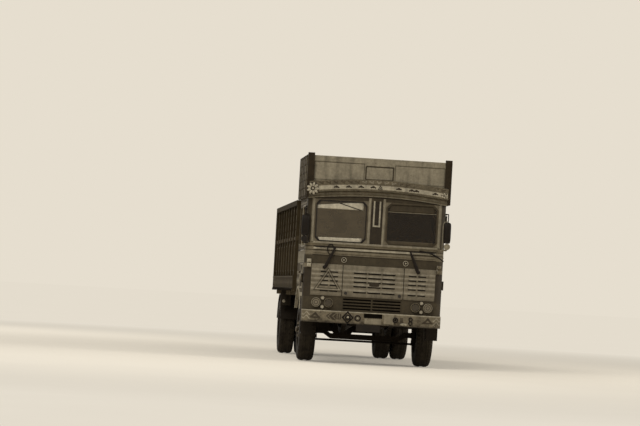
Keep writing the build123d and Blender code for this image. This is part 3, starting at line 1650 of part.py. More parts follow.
for name, sign in sides:
    # Upper tail door on this side
    with BuildPart() as tail_door:
        block(
            sign * tail_door_middle, sign * tail_door_outer_x,
            cargo_rear_y - tailgate_thickness, cargo_rear_y,
            tail_door_bottom_z, cargo_top_z,
        )
        for z0 in (tail_door_bottom_z, cargo_top_z - tail_rail_height):
            block(
                sign * tail_door_middle, sign * (tail_door_hinge_x - 2 * hinge_radius),
                cargo_rear_y, cargo_rear_y + tail_rail_proud, z0, z0 + tail_rail_height,
            )
        for z in tail_door_hinge_z:
            block(
                sign * (tail_door_hinge_x - tail_hinge_strap), sign * tail_door_hinge_x,
                cargo_rear_y, cargo_rear_y + tail_hinge_radius,
                z - hinge_length / 2, z + hinge_length / 2,
            )
            with Locations((sign * tail_door_hinge_x, cargo_rear_y + tail_hinge_radius, z)):
                Cylinder(hinge_radius, hinge_length)
                Cylinder(hinge_pin_radius + fit_clearance, hinge_length, mode=Mode.SUBTRACT)
    tail_door.part.label = f"tail_door_{name}"
    export_step(tail_door.part, f"parts/tail_door_{name}.step")

# Headboard behind the cab, with upright posts
with BuildPart() as headboard:
    block(
        -cargo_half_width, cargo_half_width,
        cargo_front_y, cargo_front_y + headboard_thickness,
        cargo_floor_z, cargo_top_z,
    )
    for x in headboard_post_x:
        block(
            x - headboard_post_width / 2, x + headboard_post_width / 2,
            cargo_front_y - headboard_post_depth, cargo_front_y,
            cargo_floor_z, cargo_top_z,
        )
headboard.part.label = "headboard"
export_step(headboard.part, "parts/headboard.step")

# Drop tailgate, hinged along its lower edge
tailgate_bottom_z = cargo_floor_z + door_gap
tailgate_top_z = tailgate_bottom_z + tailgate_height
tailgate_bar_x = (-1012, -510, 0, 510, 1012)
with BuildPart() as tailgate:
    block(
        -tail_door_outer_x, tail_door_outer_x,
        cargo_rear_y - tailgate_thickness, cargo_rear_y,
        tailgate_bottom_z, tailgate_top_z,
    )
    for x in tailgate_bar_x:
        block(
            x - tail_hinge_strap / 2, x + tail_hinge_strap / 2,
            cargo_rear_y, cargo_rear_y + tail_bar_proud,
            tailgate_bottom_z + tail_hinge_strap, tailgate_top_z,
        )
    for x in tail_hinge_x:
        block(
            x - tail_hinge_length / 2, x + tail_hinge_length / 2,
            cargo_rear_y, tail_hinge_y,
            tailgate_bottom_z, tailgate_bottom_z + tail_hinge_strap,
        )
        with Locations(Location((x, tail_hinge_y, tail_hinge_axis_z), (0, 90, 0))):
            Cylinder(tail_hinge_radius, tail_hinge_length)
            Cylinder(tail_hinge_pin_radius + fit_clearance, tail_hinge_length, mode=Mode.SUBTRACT)
tailgate.part.label = "tailgate"
export_step(tailgate.part, "parts/tailgate.step")

# Rear mudguards over the twin wheels
rear_guard_wall = 6
rear_guard_radius = runner_top_z - axle_z - rear_guard_wall
rear_guard_end_y = 420
rear_guard_rise = 120
guard_rail_height = 20
guard_rail_x = (880, 920)
guard_inner_x = 590
guard_width = 620
guard_stay = 10
step_front_y = cab_front_y + 190
step_rear_y = front_axle_y - arch_radius - arch_lip
step_x = (960, 1150)
step_plate = 24
step_cheek = 8
step_z = (470, 700)
with BuildPart() as rear_guards:
    for sign in (-1, 1):
        with BuildSketch(side_plane(sign * guard_inner_x)):
            with Locations((rear_axle_y, axle_z)):
                Circle(rear_guard_radius + rear_guard_wall)
                Circle(rear_guard_radius, mode=Mode.SUBTRACT)
            rectangle(
                rear_axle_y - arch_radius, rear_axle_y + arch_radius,
                axle_z - arch_radius, axle_z + rear_guard_rise, mode=Mode.SUBTRACT,
            )
        extrude(amount=sign * guard_width)
        block(
            sign * guard_rail_x[0], sign * guard_rail_x[1],
            rear_axle_y - rear_guard_radius, rear_axle_y + rear_guard_radius,
            runner_top_z - guard_rail_height, runner_top_z,
        )
        for end in (-1, 1):
            stay_y = rear_axle_y + end * rear_guard_end_y
            stay_z = axle_z + math.sqrt(rear_guard_radius**2 - rear_guard_end_y**2)
            block(
                sign * guard_rail_x[0], sign * guard_rail_x[1],
                stay_y - guard_stay / 2, stay_y + guard_stay / 2,
                stay_z, runner_top_z,
            )
        for y in (step_front_y, step_rear_y - step_cheek):
            block(sign * step_x[0], sign * step_x[1], y, y + step_cheek, step_z[0], cab_bottom_z)
        for z in step_z:
            block(sign * step_x[0], sign * step_x[1], step_front_y, step_rear_y, z, z + step_plate)
        block(
            sign * (step_x[1] - step_plate), sign * step_x[1], step_front_y, step_rear_y,
            cab_bottom_z - step_plate, cab_bottom_z,
        )
rear_guards.part.label = "steps_and_mudguards"
export_step(rear_guards.part, "parts/steps_and_mudguards.step")

# Fuel tank, battery box, air tanks, silencer and spare wheel hung from the frame
tank_front_y = front_axle_y + 1150
fuel_tank_length = 900
fuel_tank_x = (-1000, -520)
fuel_tank_z = (480, 960)
fuel_tank_corner = 70
battery_box_length = 500
battery_box_x = 1000
battery_box_z = (620, 980)
air_tank_front_y = front_axle_y + 1800
air_tank_length = 800
air_tank_radius = 105
air_tank_z = (690, 930)
silencer_y = front_axle_y + 2600
silencer_x = -570
silencer_z = 700
silencer_radius = 100
silencer_length = 700
exhaust_radius = 30
exhaust_length = 1000
hanger_width = 60
hanger_thickness = 40
fuel_hanger_offset = 150
fuel_hanger_reach = 100
air_hanger_offsets = (200, 560)
air_hanger_margin = 50
air_tank_gap = 25
silencer_hanger_offsets = (-300, 160)
silencer_hanger_inset = 20
silencer_hanger_overlap = 30
silencer_hanger_rise = 50
with BuildPart() as tanks:
    block(*fuel_tank_x, tank_front_y, tank_front_y + fuel_tank_length, *fuel_tank_z)
    fillet(tanks.edges().filter_by(Axis.Y), fuel_tank_corner)
    for y in (
        tank_front_y + fuel_hanger_offset,
        tank_front_y + fuel_tank_length - fuel_hanger_offset - hanger_width,
    ):
        block(
            fuel_tank_x[1] - fuel_hanger_reach, -rail_outer_x, y, y + hanger_width,
            fuel_tank_z[1] - hanger_width, fuel_tank_z[1] + hanger_thickness,
        )
    block(rail_outer_x, battery_box_x, tank_front_y, tank_front_y + battery_box_length, *battery_box_z)
    air_tank_x = rail_outer_x + air_tank_radius + air_tank_gap
    for z in air_tank_z:
        with Locations(
            Location((air_tank_x, air_tank_front_y + air_tank_length / 2, z), (90, 0, 0))
        ):
            Cylinder(air_tank_radius, air_tank_length)
    for offset in air_hanger_offsets:
        block(
            rail_outer_x, rail_outer_x + hanger_width,
            air_tank_front_y + offset, air_tank_front_y + offset + hanger_thickness,
            air_tank_z[0] - air_hanger_margin, air_tank_z[1] + air_hanger_margin,
        )
    with Locations(Location((silencer_x, silencer_y, silencer_z), (90, 0, 0))):
        Cylinder(silencer_radius, silencer_length)
        Cylinder(exhaust_radius, exhaust_length)
    for offset in silencer_hanger_offsets:
        block(
            silencer_x - silencer_hanger_inset, -rail_outer_x,
            silencer_y + offset, silencer_y + offset + hanger_thickness,
            silencer_z + silencer_radius - silencer_hanger_overlap,
            silencer_z + silencer_radius + silencer_hanger_rise,
        )
tanks.part.label = "tanks_and_silencer"
export_step(tanks.part, "parts/tanks_and_silencer.step")

spare_y = rail_rear_y - 750
spare_z = rail_bottom_z - tyre_half_width - 60
spare_carrier_half_width = 500
spare_carrier_bar = 60
spare_post_step = 4
spare_plane = Plane(origin=(0, spare_y, spare_z), x_dir=(0, 0, -1), z_dir=(0, 1, 0))
spare_axis = Axis((0, spare_y, spare_z), (0, 0, 1))
with BuildPart() as spare_tyre:
    with BuildSketch(spare_plane):
        tyre_profile(0)
    revolve(axis=spare_axis)
spare_tyre.part.label = "spare_tyre"
export_step(spare_tyre.part, "parts/spare_tyre.step")

with BuildPart() as spare_wheel:
    with BuildSketch(spare_plane):
        rim_profile(0, disc_face, 1)
    revolve(axis=spare_axis)
    block(
        -spare_carrier_half_width, spare_carrier_half_width,
        spare_y - spare_carrier_bar / 2, spare_y + spare_carrier_bar / 2,
        rail_bottom_z - spare_carrier_bar / 3, rail_bottom_z,
    )
    with Locations((0, spare_y, (rail_bottom_z + spare_z - disc_face) / 2)):
        Cylinder(hub_radius + spare_post_step, rail_bottom_z - spare_z + disc_face)
spare_wheel.part.label = "spare_wheel"
export_step(spare_wheel.part, "parts/spare_wheel.step")
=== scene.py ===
import json
import math

import bmesh
import bpy
import numpy as np
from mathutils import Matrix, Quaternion, Vector


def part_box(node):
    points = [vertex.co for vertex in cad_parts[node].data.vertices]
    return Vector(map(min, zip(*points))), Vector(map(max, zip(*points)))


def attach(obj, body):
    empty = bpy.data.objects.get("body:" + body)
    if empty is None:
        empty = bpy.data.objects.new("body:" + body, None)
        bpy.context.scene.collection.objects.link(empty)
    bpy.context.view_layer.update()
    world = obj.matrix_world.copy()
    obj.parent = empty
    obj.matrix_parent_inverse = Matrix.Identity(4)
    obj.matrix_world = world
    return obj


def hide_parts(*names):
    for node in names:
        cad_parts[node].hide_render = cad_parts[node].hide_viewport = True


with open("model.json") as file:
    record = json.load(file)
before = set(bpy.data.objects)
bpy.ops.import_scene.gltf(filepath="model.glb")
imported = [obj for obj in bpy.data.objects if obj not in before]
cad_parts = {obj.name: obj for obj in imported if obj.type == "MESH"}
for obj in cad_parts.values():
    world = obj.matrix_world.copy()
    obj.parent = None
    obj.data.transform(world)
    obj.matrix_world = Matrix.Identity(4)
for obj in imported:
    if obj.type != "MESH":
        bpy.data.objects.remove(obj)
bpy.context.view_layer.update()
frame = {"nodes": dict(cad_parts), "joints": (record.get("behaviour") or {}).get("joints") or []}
nodes = frame["nodes"]
print("frame loaded:", len(nodes), "nodes")

# Lengths are metres; x points to the lorry's left, y to its rear and z up
ahead, behind, upward = (0, -1, 0), (0, 1, 0), (0, 0, 1)
sides = (("left", 1), ("right", -1))
pivots = {joint["name"]: joint["pos_m"] for joint in frame["joints"]}


def corners(node):
    # lowest and highest corner of a solid, to a tenth of a millimetre
    return np.round([list(corner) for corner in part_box(node)], 4)


# An expression on these values adds its own Math nodes
class Value:
    def __init__(self, finish, socket):
        self.finish = finish
        self.socket = socket

    def combine(self, operation, first, second=0.0, clamp=False):
        settings = {"operation": operation, "use_clamp": clamp}
        node = self.finish.node("ShaderNodeMath", settings, {0: first, 1: second})
        return Value(self.finish, node.outputs[0])

    def __add__(self, other):
        return self.combine("ADD", self, other)

    def __radd__(self, other):
        return self.combine("ADD", other, self)

    def __sub__(self, other):
        return self.combine("SUBTRACT", self, other)

    def __rsub__(self, other):
        return self.combine("SUBTRACT", other, self)

    def __mul__(self, other):
        return self.combine("MULTIPLY", self, other)

    def __rmul__(self, other):
        return self.combine("MULTIPLY", other, self)

    def __truediv__(self, other):
        return self.combine("DIVIDE", self, other)

    def __pow__(self, other):
        return self.combine("POWER", self, other)

    def magnitude(self):
        return self.combine("ABSOLUTE", self)

    def wave(self):
        return self.combine("SINE", self)

    def atLeast(self, other):
        return self.combine("MAXIMUM", self, other)

    def clamped(self):
        return self.combine("ADD", self, clamp=True)

    def above(self, level, soft=0.004):
        # 0 below the level, 1 above it, a ramp of width soft between
        return self.combine("ADD", (self - level) / soft, 0.5, clamp=True)

    def below(self, level, soft=0.004):
        return 1 - self.above(level, soft)

    def within(self, low, high, soft=0.004):
        return self.above(low, soft) * self.below(high, soft)

    def near(self, place, reach, soft=0.004):
        # 1 up to a reach on both sides of a place
        return (self - place).magnitude().below(reach, soft)

    def repeats(self, period):
        # distance to the nearest middle of a stripe, 0 to half a period
        return self.combine("PINGPONG", self, period / 2)


class Finish:
    def __init__(self, name, gloss=0.5):
        self.material = bpy.data.materials.new(name)
        self.material.use_nodes = True
        self.tree = self.material.node_tree
        self.tree.nodes.clear()
        self.output = self.tree.nodes.new("ShaderNodeOutputMaterial")
        self.shader = self.node("ShaderNodeBsdfPrincipled", {}, {"Specular IOR Level": gloss})
        self.tree.links.new(self.shader.outputs[0], self.output.inputs[0])
        self.place = self.node("ShaderNodeTexCoord", {}, {}).outputs["Object"]
        axes = self.node("ShaderNodeSeparateXYZ", {}, {0: self.place})
        self.x, self.y, self.z = (Value(self, axes.outputs[i]) for i in range(3))

    def node(self, kind, settings, sockets):
        made = self.tree.nodes.new(kind)
        for key, value in settings.items():
            setattr(made, key, value)
        for key, value in sockets.items():
            self.feed(made.inputs[key], value)
        return made

    def feed(self, socket, value):
        value = value.socket if isinstance(value, Value) else value
        if isinstance(value, bpy.types.NodeSocket):
            self.tree.links.new(value, socket)
        elif isinstance(value, tuple) and socket.type == "RGBA":
            socket.default_value = (*value, 1)
        else:
            socket.default_value = value

    def noise(self, scale, detail=3.0, stretch=(1, 1, 1), roughness=0.55):
        where = self.node("ShaderNodeMapping", {}, {"Vector": self.place, "Scale": Vector(stretch)})
        sockets = {"Vector": where.outputs[0], "Scale": scale, "Detail": detail, "Roughness": roughness}
        return Value(self, self.node("ShaderNodeTexNoise", {}, sockets).outputs["Fac"])

    def mix(self, factor, first, second):
        made = self.node("ShaderNodeMix", {"data_type": "RGBA"}, {0: factor, 6: first, 7: second})
        return made.outputs[2]

    def shade(self, colour, factor):
        # the same colour made darker or lighter by a number
        made = self.node("ShaderNodeVectorMath", {"operation": "SCALE"}, {0: colour, "Scale": factor})
        return made.outputs[0]

    def bump(self, height, strength, distance):
        sockets = {"Height": height, "Strength": strength, "Distance": distance}
        self.feed(self.shader.inputs["Normal"], self.node("ShaderNodeBump", {}, sockets).outputs[0])

    def set(self, **sockets):
        for key, value in sockets.items():
            self.feed(self.shader.inputs[key.replace("_", " ")], value)


def tone(red, green, blue):
    # screen colour in 0..255 to the linear value that the shader wants
    return tuple(((c / 255 + 0.055) / 1.055) ** 2.4 if c > 10 else c / 255 / 12.92 for c in (red, green, blue))


tones = {
    "paper": tone(166, 158, 139),
    "cream": tone(119, 111, 93),
    "creamBright": tone(147, 139, 120),
    "creamShade": tone(104, 95, 77),
    "creamWorn": tone(110, 102, 86),
    "tan": tone(92, 83, 65),
    "brown": tone(68, 59, 43),
    "umber": tone(54, 46, 31),
    "dark": tone(40, 32, 20),
    "black": tone(22, 16, 9),
    "dust": tone(116, 106, 86),
    "grime": tone(33, 26, 16),
    "rust": tone(58, 42, 26),
    "timber": tone(84, 72, 53),
}


def region(finish, spans):
    # where every axis is between its two ends; the name of an axis ends in s for the distance from the middle
    parts = []
    for axis, (low, high) in spans.items():
        channel = getattr(finish, axis[0])
        parts.append((channel.magnitude() if axis.endswith("s") else channel).within(low, high))
    mask = parts[0]
    for part in parts[1:]:
        mask = mask * part
    return mask


# How enamel ages: the darkest blotch, where rain streaks and chips begin, the height that dust reaches
enamel = {"darkest": 0.15, "streakFrom": 0.58, "chipFrom": 0.64, "chipPatch": 0.46, "dustHeight": 2.0}


def agedPaint(
    name, base, regions=(), patterns=(), dust=0.35, roughness=0.62, chips=0.5, streaks=0.4, gloss=0.22
):
    # enamel over steel: blotched, streaked by rain, dusty low down, chipped to rust
    finish = Finish(name, gloss=gloss)
    colour = tones[base]
    for key, spans in regions:
        colour = finish.mix(region(finish, spans), colour, tones[key])
    for pattern in patterns:
        mask, key = pattern(finish)
        colour = finish.mix(mask, colour, tones[key])
    blotch = finish.noise(5.0, 8.0, roughness=0.72)
    mottle = finish.noise(19.0, 5.0, roughness=0.65)
    colour = finish.shade(colour, (blotch * 1.15 + mottle * 1.05 - 0.12).atLeast(enamel["darkest"]))
    streak = finish.noise(10.0, 6.0, (1, 1, 0.10)).above(enamel["streakFrom"], 0.20)
    colour = finish.mix(streak * streaks * 0.7, colour, tones["grime"])
    low = (1 - finish.z / enamel["dustHeight"]).clamped() * (0.25 + finish.noise(13.0, 7.0, roughness=0.65))
    colour = finish.mix((low * dust).clamped(), colour, tones["dust"])
    chip = finish.noise(34.0, 6.0, roughness=0.75).above(enamel["chipFrom"], 0.03)
    chip = chip * finish.noise(4.0, 3.0).above(enamel["chipPatch"], 0.12)
    colour = finish.mix(chip * chips, colour, tones["rust"])
    grain = finish.noise(150.0, 3.0)
    dents = finish.noise(3.2, 2.0) * 3.0
    finish.bump(dents + finish.noise(30.0, 5.0) * 0.6 + grain * 0.2 - chip * chips * 0.7, 0.3, 0.005)
    rough = roughness + low * 0.2 + (grain - 0.5) * 0.16 + chip * 0.2
    finish.set(Base_Color=colour, Roughness=rough.clamped())
    return finish.material


def boards(name, base, pitch):
    # planks along y: long grain, a shadowed joint between two planks, each plank its own tint
    finish = Finish(name, gloss=0.08)
    plank = finish.node("ShaderNodeMath", {"operation": "FLOOR"}, {0: finish.x / pitch})
    tint = finish.node("ShaderNodeTexWhiteNoise", {"noise_dimensions": "1D"}, {"W": plank.outputs[0]})
    grain = finish.noise(2.2, 8.0, (16, 1.2, 16), 0.65)
    colour = finish.mix(Value(finish, tint.outputs["Value"]) * 0.55, tones[base], tones["dust"])
    colour = finish.mix(grain.above(0.56, 0.22) * 0.6, colour, tones["umber"])
    joint = finish.x.repeats(pitch).below(0.004)
    colour = finish.mix(joint, colour, tones["black"])
    colour = finish.mix(finish.noise(3.0, 5.0).above(0.55, 0.2) * 0.4, colour, tones["dust"])
    finish.bump(grain * 0.5 - joint * 1.2, 0.5, 0.006)
    finish.set(Base_Color=colour, Roughness=(0.72 + grain * 0.18).clamped())
    return finish.material


def dustyRubber(name, dust=0.10):
    finish = Finish(name, gloss=0.15)
    cloud = finish.noise(9.0, 6.0)
    colour = finish.mix((cloud.above(0.45, 0.3) * dust).clamped(), tones["black"], tones["dust"])
    colour = finish.shade(colour, 0.7 + finish.noise(40.0, 5.0) * 0.6)
    finish.bump(finish.noise(90.0, 5.0), 0.25, 0.003)
    finish.set(Base_Color=colour, Roughness=(0.74 + cloud * 0.2).clamped())
    return finish.material


def wornMetal(name, base, roughness, tarnish):
    finish = Finish(name)
    patch = finish.noise(24.0, 6.0)
    colour = finish.mix(patch.above(0.55, 0.2) * tarnish, base, tones["rust"])
    finish.bump(finish.noise(120.0, 4.0), 0.12, 0.002)
    finish.set(
        Base_Color=colour,
        Roughness=(roughness + patch * 0.3).clamped(),
        Metallic=(1 - patch.above(0.6, 0.15) * tarnish).clamped(),
    )
    return finish.material


def windowGlass(name, film, cover, leftFilm=None, leftCover=0.0):
    # a thin film with clouds and wiped arcs of dust, another film on the lorry's left half where one is given;
    # on the windscreens the near-opaque brown film of the right half is a painted reflection
    finish = Finish(name, gloss=0.55)
    cloud = finish.noise(5.0, 5.0, (1, 1, 1.8))
    smear = finish.noise(1.6, 4.0, (1.2, 1, 0.5)).above(0.45, 0.35)
    colour, share = tones[film], cover
    if leftFilm:
        left = finish.x.above(0.0, 0.01)
        colour = finish.mix(left, colour, tones[leftFilm])
        share = left * leftCover + (1 - left) * cover
    finish.set(
        Base_Color=finish.shade(colour, 0.72 + cloud * 0.45 + smear * 0.14),
        Roughness=(0.05 + cloud * 0.10).clamped(),
        Alpha=(cloud * 0.18 + smear * 0.10 - 0.12 + share).clamped(),
    )
    return finish.material


def cloth(name, base, second, thread=900.0):
    # woven cover: two sets of threads, faded in patches
    finish = Finish(name)
    weave = (finish.x * thread).wave() * ((finish.z + finish.y) * thread).wave() * 0.5 + 0.5
    colour = finish.mix(finish.noise(6.0, 5.0).above(0.5, 0.3), tones[base], tones[second])
    finish.bump(weave, 0.35, 0.0015)
    colour = finish.mix(weave * 0.3, colour, tones["grime"])
    finish.set(Base_Color=colour, Roughness=(0.78 + weave * 0.12).clamped(), Sheen_Weight=0.25)
    return finish.material


print("finishes ready")


# Surfaces: each is an array of points on a grid of two parameters
def gridFaces(rows, columns, wrapRows=False, wrapColumns=False):
    # each quad joins a point to its neighbours along both parameters
    row, column = np.meshgrid(
        np.arange(rows if wrapRows else rows - 1),
        np.arange(columns if wrapColumns else columns - 1),
        indexing="ij",
    )
    nextRow, nextColumn = (row + 1) % rows, (column + 1) % columns
    quads = (row * columns + column, row * columns + nextColumn,
             nextRow * columns + nextColumn, nextRow * columns + column)
    return np.stack(quads, -1).reshape(-1, 4).tolist()


def endCaps(rows, columns):
    # one face over the first row and one over the last
    return [list(range(columns)), list(range((rows - 1) * columns, rows * columns))]


def frameOf(axis):
    # two unit vectors square to the axis
    axis = np.array(axis, float) / np.linalg.norm(axis)
    other = np.array((0, 0, 1.0)) if abs(axis[2]) < 0.9 else np.array((1.0, 0, 0))
    first = np.cross(other, axis)
    first /= np.linalg.norm(first)
    return axis, first, np.cross(axis, first)


def turned(profile, centre, axis, count=48, wrap=False):
    # p(i, t) = centre + along_i * axis + radius_i * (cos t * first + sin t * second)
    axis, first, second = frameOf(axis)
    profile = np.array(profile, float)
    angle = np.arange(count) * 2 * np.pi / count
    ring = np.cos(angle)[:, None] * first + np.sin(angle)[:, None] * second
    points = np.array(centre) + profile[:, 0, None, None] * axis + profile[:, 1, None, None] * ring
    return points.reshape(-1, 3), gridFaces(len(profile), count, wrap, True)


def torus(centre, axis, along, radius, thickness, width=None, count=40):
    # a ring whose section is an ellipse round (along, radius)
    t = np.arange(10) * 2 * np.pi / 10
    width = thickness if width is None else width
    profile = np.stack([along + width * np.cos(t), radius + thickness * np.sin(t)], -1)
    return turned(profile, centre, axis, count, wrap=True)


def tube(path, radius, count=8, loop=False, flat=behind):
    # p(i, t) = path_i + radius * (cos t * across_i + sin t * lift_i), across square to the path and to flat
    path = np.array(path, float)
    run = np.roll(path, -1, 0) - path if loop else np.gradient(path, axis=0)
    run = (run + np.roll(run, 1, 0)) / 2 if loop else run
    run /= np.linalg.norm(run, axis=1)[:, None]
    across = np.cross(run, np.array(flat, float))
    across /= np.maximum(np.linalg.norm(across, axis=1), 1e-6)[:, None]
    lift = np.cross(run, across)
    angle = np.arange(count) * 2 * np.pi / count
    points = path[:, None] + radius * (
        np.cos(angle)[None, :, None] * across[:, None] + np.sin(angle)[None, :, None] * lift[:, None]
    )
    caps = [] if loop else endCaps(len(path), count)
    return points.reshape(-1, 3), gridFaces(len(path), count, loop, True) + caps


def moulding(path, profile, out, loop=False):
    # p(i, j) = path_i + across_j * mitre_i + height_j * out, the mitre shared by the two runs that meet
    path, profile, out = np.array(path, float), np.array(profile, float), np.array(out, float)
    runs = np.roll(path, -1, 0) - path
    runs /= np.maximum(np.linalg.norm(runs, axis=1), 1e-9)[:, None]
    after = np.cross(runs, out)
    before = np.roll(after, 1, 0)
    if not loop:
        before[0], after[-1] = after[0], after[-2]
    mitre = (before + after) / (1 + (before * after).sum(1))[:, None]
    points = path[:, None] + profile[None, :, 0, None] * mitre[:, None] + profile[None, :, 1, None] * out
    caps = [] if loop else endCaps(len(path), len(profile))
    return points.reshape(-1, 3), gridFaces(len(path), len(profile), loop, True) + caps


def halfRound(width, height, steps=7):
    # flat back and an elliptic front
    t = np.linspace(0, np.pi, steps)
    return np.stack([width / 2 * np.cos(t), height * np.sin(t)], -1)


def bead(start, end, width, height, out=ahead, steps=7):
    # a straight half-round moulding
    return moulding([start, end], halfRound(width, height, steps), out)


def plank(start, end, width, out, edge=0.010, crown=0.012):
    # a board with eased edges and a slight crown, 4 mm short of its neighbour on each side
    half = width / 2
    profile = [(0.004 - half, 0), (0.010 - half, edge), (0, crown), (half - 0.010, edge), (half - 0.004, 0)]
    return moulding([start, end], profile, out)


def rectangle(low, high, width, height, out):
    # a half-round moulding round the rectangle between two corners of an upright plane
    (x0, y0, z0), (x1, y1, z1) = low, high
    path = [(x0, y0, z0), (x1, y1, z0), (x1, y1, z1), (x0, y0, z1)]
    return moulding(path, halfRound(width, height), out, loop=True)


def superellipse(width, height, order):
    # distance at angle t to |x / width|^order + |z / height|^order = 1; order 1 is a plain lozenge
    return lambda t: (np.abs(np.cos(t) / width) ** order + np.abs(np.sin(t) / height) ** order) ** (-1 / order)


def dome(outline, centre, out, height, right=(1, 0, 0), rings=7, ripple=None, power=0.5):
    # p(s, t) = centre + s * outline(t) * (cos t * right + sin t * up) + lift * out,
    # lift = height * (1 - s^2)^power * ripple(s, t)
    out, right = np.array(out, float), np.array(right, float)
    up = np.cross(right, out)
    t = np.linspace(0, 2 * np.pi, 73)[:-1]
    s = np.sin(np.linspace(0, np.pi / 2, rings))
    lift = height * np.maximum(1 - s ** 2, 0)[:, None] ** power * np.ones_like(t)
    if ripple is not None:
        lift = lift * ripple(s[:, None], t[None, :])
    plane = np.cos(t)[:, None] * right + np.sin(t)[:, None] * up
    points = np.array(centre) + s[:, None, None] * outline(t)[None, :, None] * plane + lift[..., None] * out
    faces = gridFaces(rings, len(t), False, True) + endCaps(rings, len(t))[1:]
    return points.reshape(-1, 3), faces


def button(centre, radius, height, out=ahead, **settings):
    # a round dome
    return dome(lambda t: np.full_like(t, radius), centre, out, height, **settings)


def boltHead(centre, radius, height, out):
    # outline: radius / cos of the angle from the middle of the nearest of six flats
    outline = lambda t: radius / np.cos((t % (np.pi / 3)) - np.pi / 6)
    return dome(outline, centre, out, height, rings=4, power=0.25)


def roundedBox(low, high, rounding, rows, columns):
    # superellipsoid: along each axis half the size * |cos or sin| ^ rounding with its sign
    half, middle = (high - low) / 2, (high + low) / 2
    v = np.linspace(-np.pi / 2, np.pi / 2, rows)[:, None]
    u = (np.arange(columns) * 2 * np.pi / columns)[None, :]
    bend = lambda value: np.sign(value) * np.abs(value) ** rounding
    x, y = bend(np.cos(v)) * bend(np.cos(u)), bend(np.cos(v)) * bend(np.sin(u))
    z = bend(np.sin(v)) * np.ones_like(u)
    points = np.stack([x, y, z], -1) * half + middle
    return points.reshape(-1, 3), gridFaces(rows, columns, False, True)


def makePiece(name, shells, material, body="lorry", replaces=(), sharp=38, outward=True):
    # one object from several surfaces: doubles merged, faces turned outward, smooth but for sharp edges
    points, faces, start = [], [], 0
    for shellPoints, shellFaces in shells:
        points.append(shellPoints)
        faces += [[start + i for i in face] for face in shellFaces]
        start += len(shellPoints)
    mesh = bpy.data.meshes.new(name)
    mesh.from_pydata(np.concatenate(points).tolist(), [], faces)
    work = bmesh.new()
    work.from_mesh(mesh)
    bmesh.ops.remove_doubles(work, verts=work.verts, dist=1e-5)
    bmesh.ops.dissolve_degenerate(work, edges=work.edges, dist=1e-6)
    if outward:
        bmesh.ops.recalc_face_normals(work, faces=work.faces)
    work.to_mesh(mesh)
    work.free()
    mesh.polygons.foreach_set("use_smooth", np.ones(len(mesh.polygons), bool))
    mesh.set_sharp_from_angle(angle=math.radians(sharp))
    mesh.materials.append(material)
    piece = bpy.data.objects.new(name, mesh)
    bpy.context.scene.collection.objects.link(piece)
    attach(piece, body)
    if replaces:
        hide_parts(*replaces)
    return piece


def makeSheet(name, shells, material, thickness=0.003):
    piece = makePiece(name, shells, material, outward=False)
    solidify = piece.modifiers.new("thickness", "SOLIDIFY")
    solidify.thickness = thickness
    solidify.offset = 0


def dress(material, *names):
    for name in names:
        nodes[name].data.materials.clear()
        nodes[name].data.materials.append(material)


# Paint of the cab: a tone and the box it covers; xs is the distance from the middle
frontBands = [
    ("umber", {"z": (0.88, 1.130)}),
    ("umber", {"z": (1.657, 1.800)}),
    ("tan", {"z": (1.800, 1.99)}),
    ("creamShade", {"z": (1.815, 1.934)}),
    ("umber", {"z": (1.878, 1.894)}),
    ("umber", {"z": (1.938, 1.952)}),
    # painted shade: the panel behind the grille is black, so that its slots and gaps show dark
    ("black", {"xs": (-1, 1.035), "z": (1.135, 1.65)}),
    # dark paint down the front corners beside the grille, deepened as painted shade where the corner turns
    # away
    ("dark", {"xs": (1.045, 1.20), "z": (1.10, 1.585)}),
    ("umber", {"xs": (1.092, 1.20), "z": (2.0, 2.84)}),
    ("dark", {"xs": (-1, 0.112), "z": (2.02, 2.76)}),
    # painted shade cast by the brow over the tops of the screens
    ("umber", {"z": (2.742, 2.84)}),
]
frontEdge = (-4.10, -3.925)
sideBands = [
    ("cream", {"z": (1.70, 1.86)}),
    ("dark", {"z": (1.66, 1.70)}),
    ("dark", {"z": (1.86, 1.89)}),
    ("dark", {"z": (0.80, 1.06)}),
    ("creamBright", {"z": (1.10, 1.16)}),
    ("cream", {"y": frontEdge, "z": (1.20, 1.99)}),
    ("dark", {"y": frontEdge, "z": (1.60, 1.66)}),
    ("dark", {"y": frontEdge, "z": (1.36, 1.41)}),
    ("dark", {"xs": (1.107, 1.136), "z": (1.20, 1.99)}),
]
doorBands = sideBands + [
    ("cream", {"y": (-3.81, -3.11), "z": (1.23, 1.65)}),
    ("umber", {"y": (-3.78, -3.14), "z": (1.26, 1.62)}),
]
tailBands = [("brown", {"z": (1.26, 1.90)}), ("umber", {"z": (1.90, 2.80)})]

# Marks on the bumper's face: heights, places and half widths
marks = {"triangleX": 0.945, "chevronX": 0.69, "chevronZ": 0.79, "chevronHalf": 0.026, "secondArm": 0.062,
         "barPitch": 0.038, "bars": (0.503, 0.613), "barHeight": (0.745, 0.835), "patch": (0.475, 0.530),
         "waves": 62.0, "waveHeight": 0.022, "scrollFrom": 1.03}


def filledTriangle(finish, top, foot):
    # |x - a| < (top - z) * 0.95 over a straight foot, at both ends of the bumper
    across = (finish.x.magnitude() - marks["triangleX"]).magnitude()
    return ((top - finish.z) * 0.95 - across).above(0.0, 0.006) * finish.z.above(foot, 0.006)


